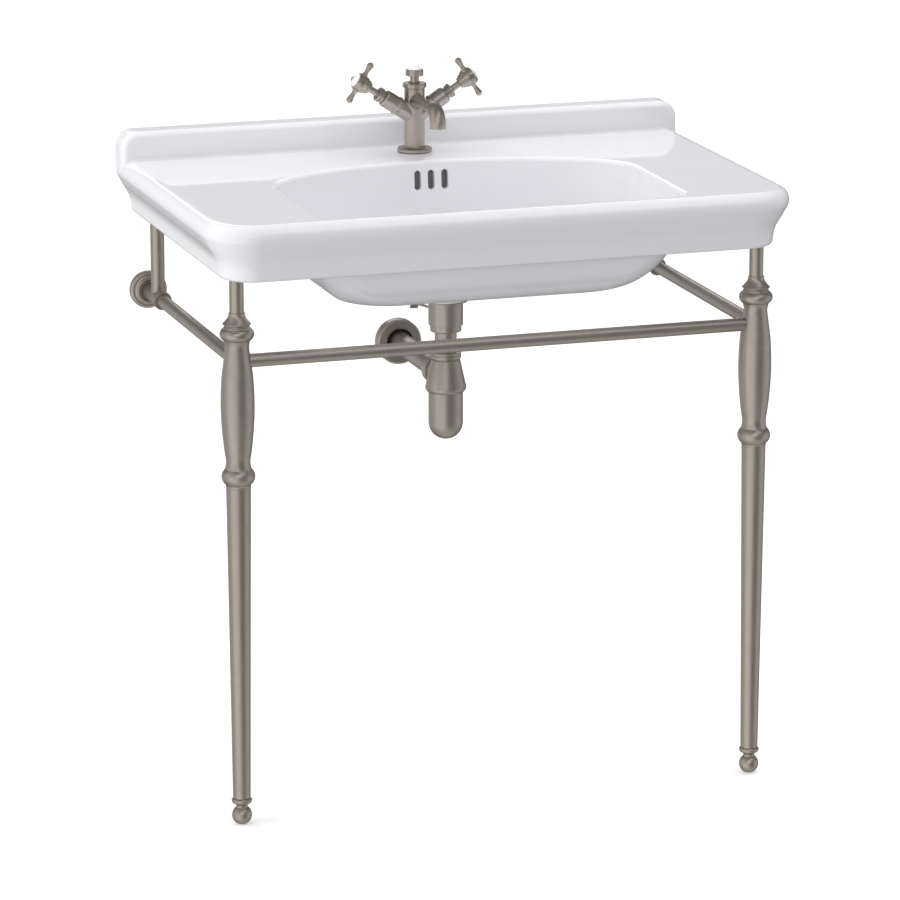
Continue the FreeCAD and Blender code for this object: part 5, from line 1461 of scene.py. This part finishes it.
class CONSOLE_OT_stage(bpy.types.Operator):
    """Sets the pale floor, the soft studio light and the camera at the photograph's angle"""

    bl_idname = "console.stage"
    bl_label = "Stage"

    def execute(self, context):
        scene = context.scene
        scene.view_settings.view_transform = "Standard"
        studio_world(STUDIO_LEVEL)
        across = np.linspace(-FLOOR_HALF, FLOOR_HALF, 3)
        x, y = np.meshgrid(across, across)
        floor_mesh = make_mesh("studio_floor", [skin(np.dstack([x, y, 0 * x]), wrap_columns=False)])
        if floor_mesh.polygons[0].normal.z < 0:
            floor_mesh.flip_normals()
        floor_mesh.materials.append(floor_material(tuple(scene.console_finishes.floor)))
        floor = bpy.data.objects.new("studio_floor", floor_mesh)
        scene.collection.objects.link(floor)
        for name, values in LAMPS.items():
            softbox(name, *values)
        camera = bpy.data.cameras.new("photo_camera")
        camera.lens = LENS
        camera.sensor_width = SENSOR_WIDTH
        camera.clip_end = CLIP_END
        holder = bpy.data.objects.new("photo_camera", camera)
        scene.collection.objects.link(holder)
        holder.location = EYE
        level_share = math.cos(VIEW_PITCH)
        forward = Vector((
            math.sin(VIEW_YAW) * level_share,
            math.cos(VIEW_YAW) * level_share,
            -math.sin(VIEW_PITCH),
        ))
        holder.rotation_euler = forward.to_track_quat("-Z", "Y").to_euler()
        scene.camera = holder
        return {"FINISHED"}


# ---------------------------------------------------------------- panel
class CONSOLE_PT_panel(bpy.types.Panel):
    """The sizes, the finishes and a button for each step"""

    bl_idname = "CONSOLE_PT_panel"
    bl_label = "Console Sink"
    bl_space_type = "VIEW_3D"
    bl_region_type = "UI"
    bl_category = "Console Sink"

    def draw(self, context):
        layout = self.layout
        for group in ("console_basin", "console_stand", "console_finishes"):
            settings = getattr(context.scene, group)
            box = layout.box()
            for key in settings.bl_rna.properties.keys():
                if key not in ("rna_type", "name"):
                    box.prop(settings, key)
        for operator in OPERATORS:
            layout.operator(operator.bl_idname)


GROUPS = (ConsoleBasinSizes, ConsoleStandSizes, ConsoleFinishes)
OPERATORS = (CONSOLE_OT_basin, CONSOLE_OT_legs, CONSOLE_OT_rails, CONSOLE_OT_waste, CONSOLE_OT_tap,
             CONSOLE_OT_valves, CONSOLE_OT_small_parts, CONSOLE_OT_stage)


def register():
    for item in (*GROUPS, *OPERATORS, CONSOLE_PT_panel):
        bpy.utils.register_class(item)
    bpy.types.Scene.console_basin = bpy.props.PointerProperty(type=ConsoleBasinSizes)
    bpy.types.Scene.console_stand = bpy.props.PointerProperty(type=ConsoleStandSizes)
    bpy.types.Scene.console_finishes = bpy.props.PointerProperty(type=ConsoleFinishes)


def unregister():
    del bpy.types.Scene.console_finishes
    del bpy.types.Scene.console_stand
    del bpy.types.Scene.console_basin
    for item in reversed((*GROUPS, *OPERATORS, CONSOLE_PT_panel)):
        bpy.utils.unregister_class(item)


def main():
    register()
    for operator in OPERATORS:
        group, name = operator.bl_idname.split(".")
        getattr(getattr(bpy.ops, group), name)()


if __name__ == "__main__":
    main()
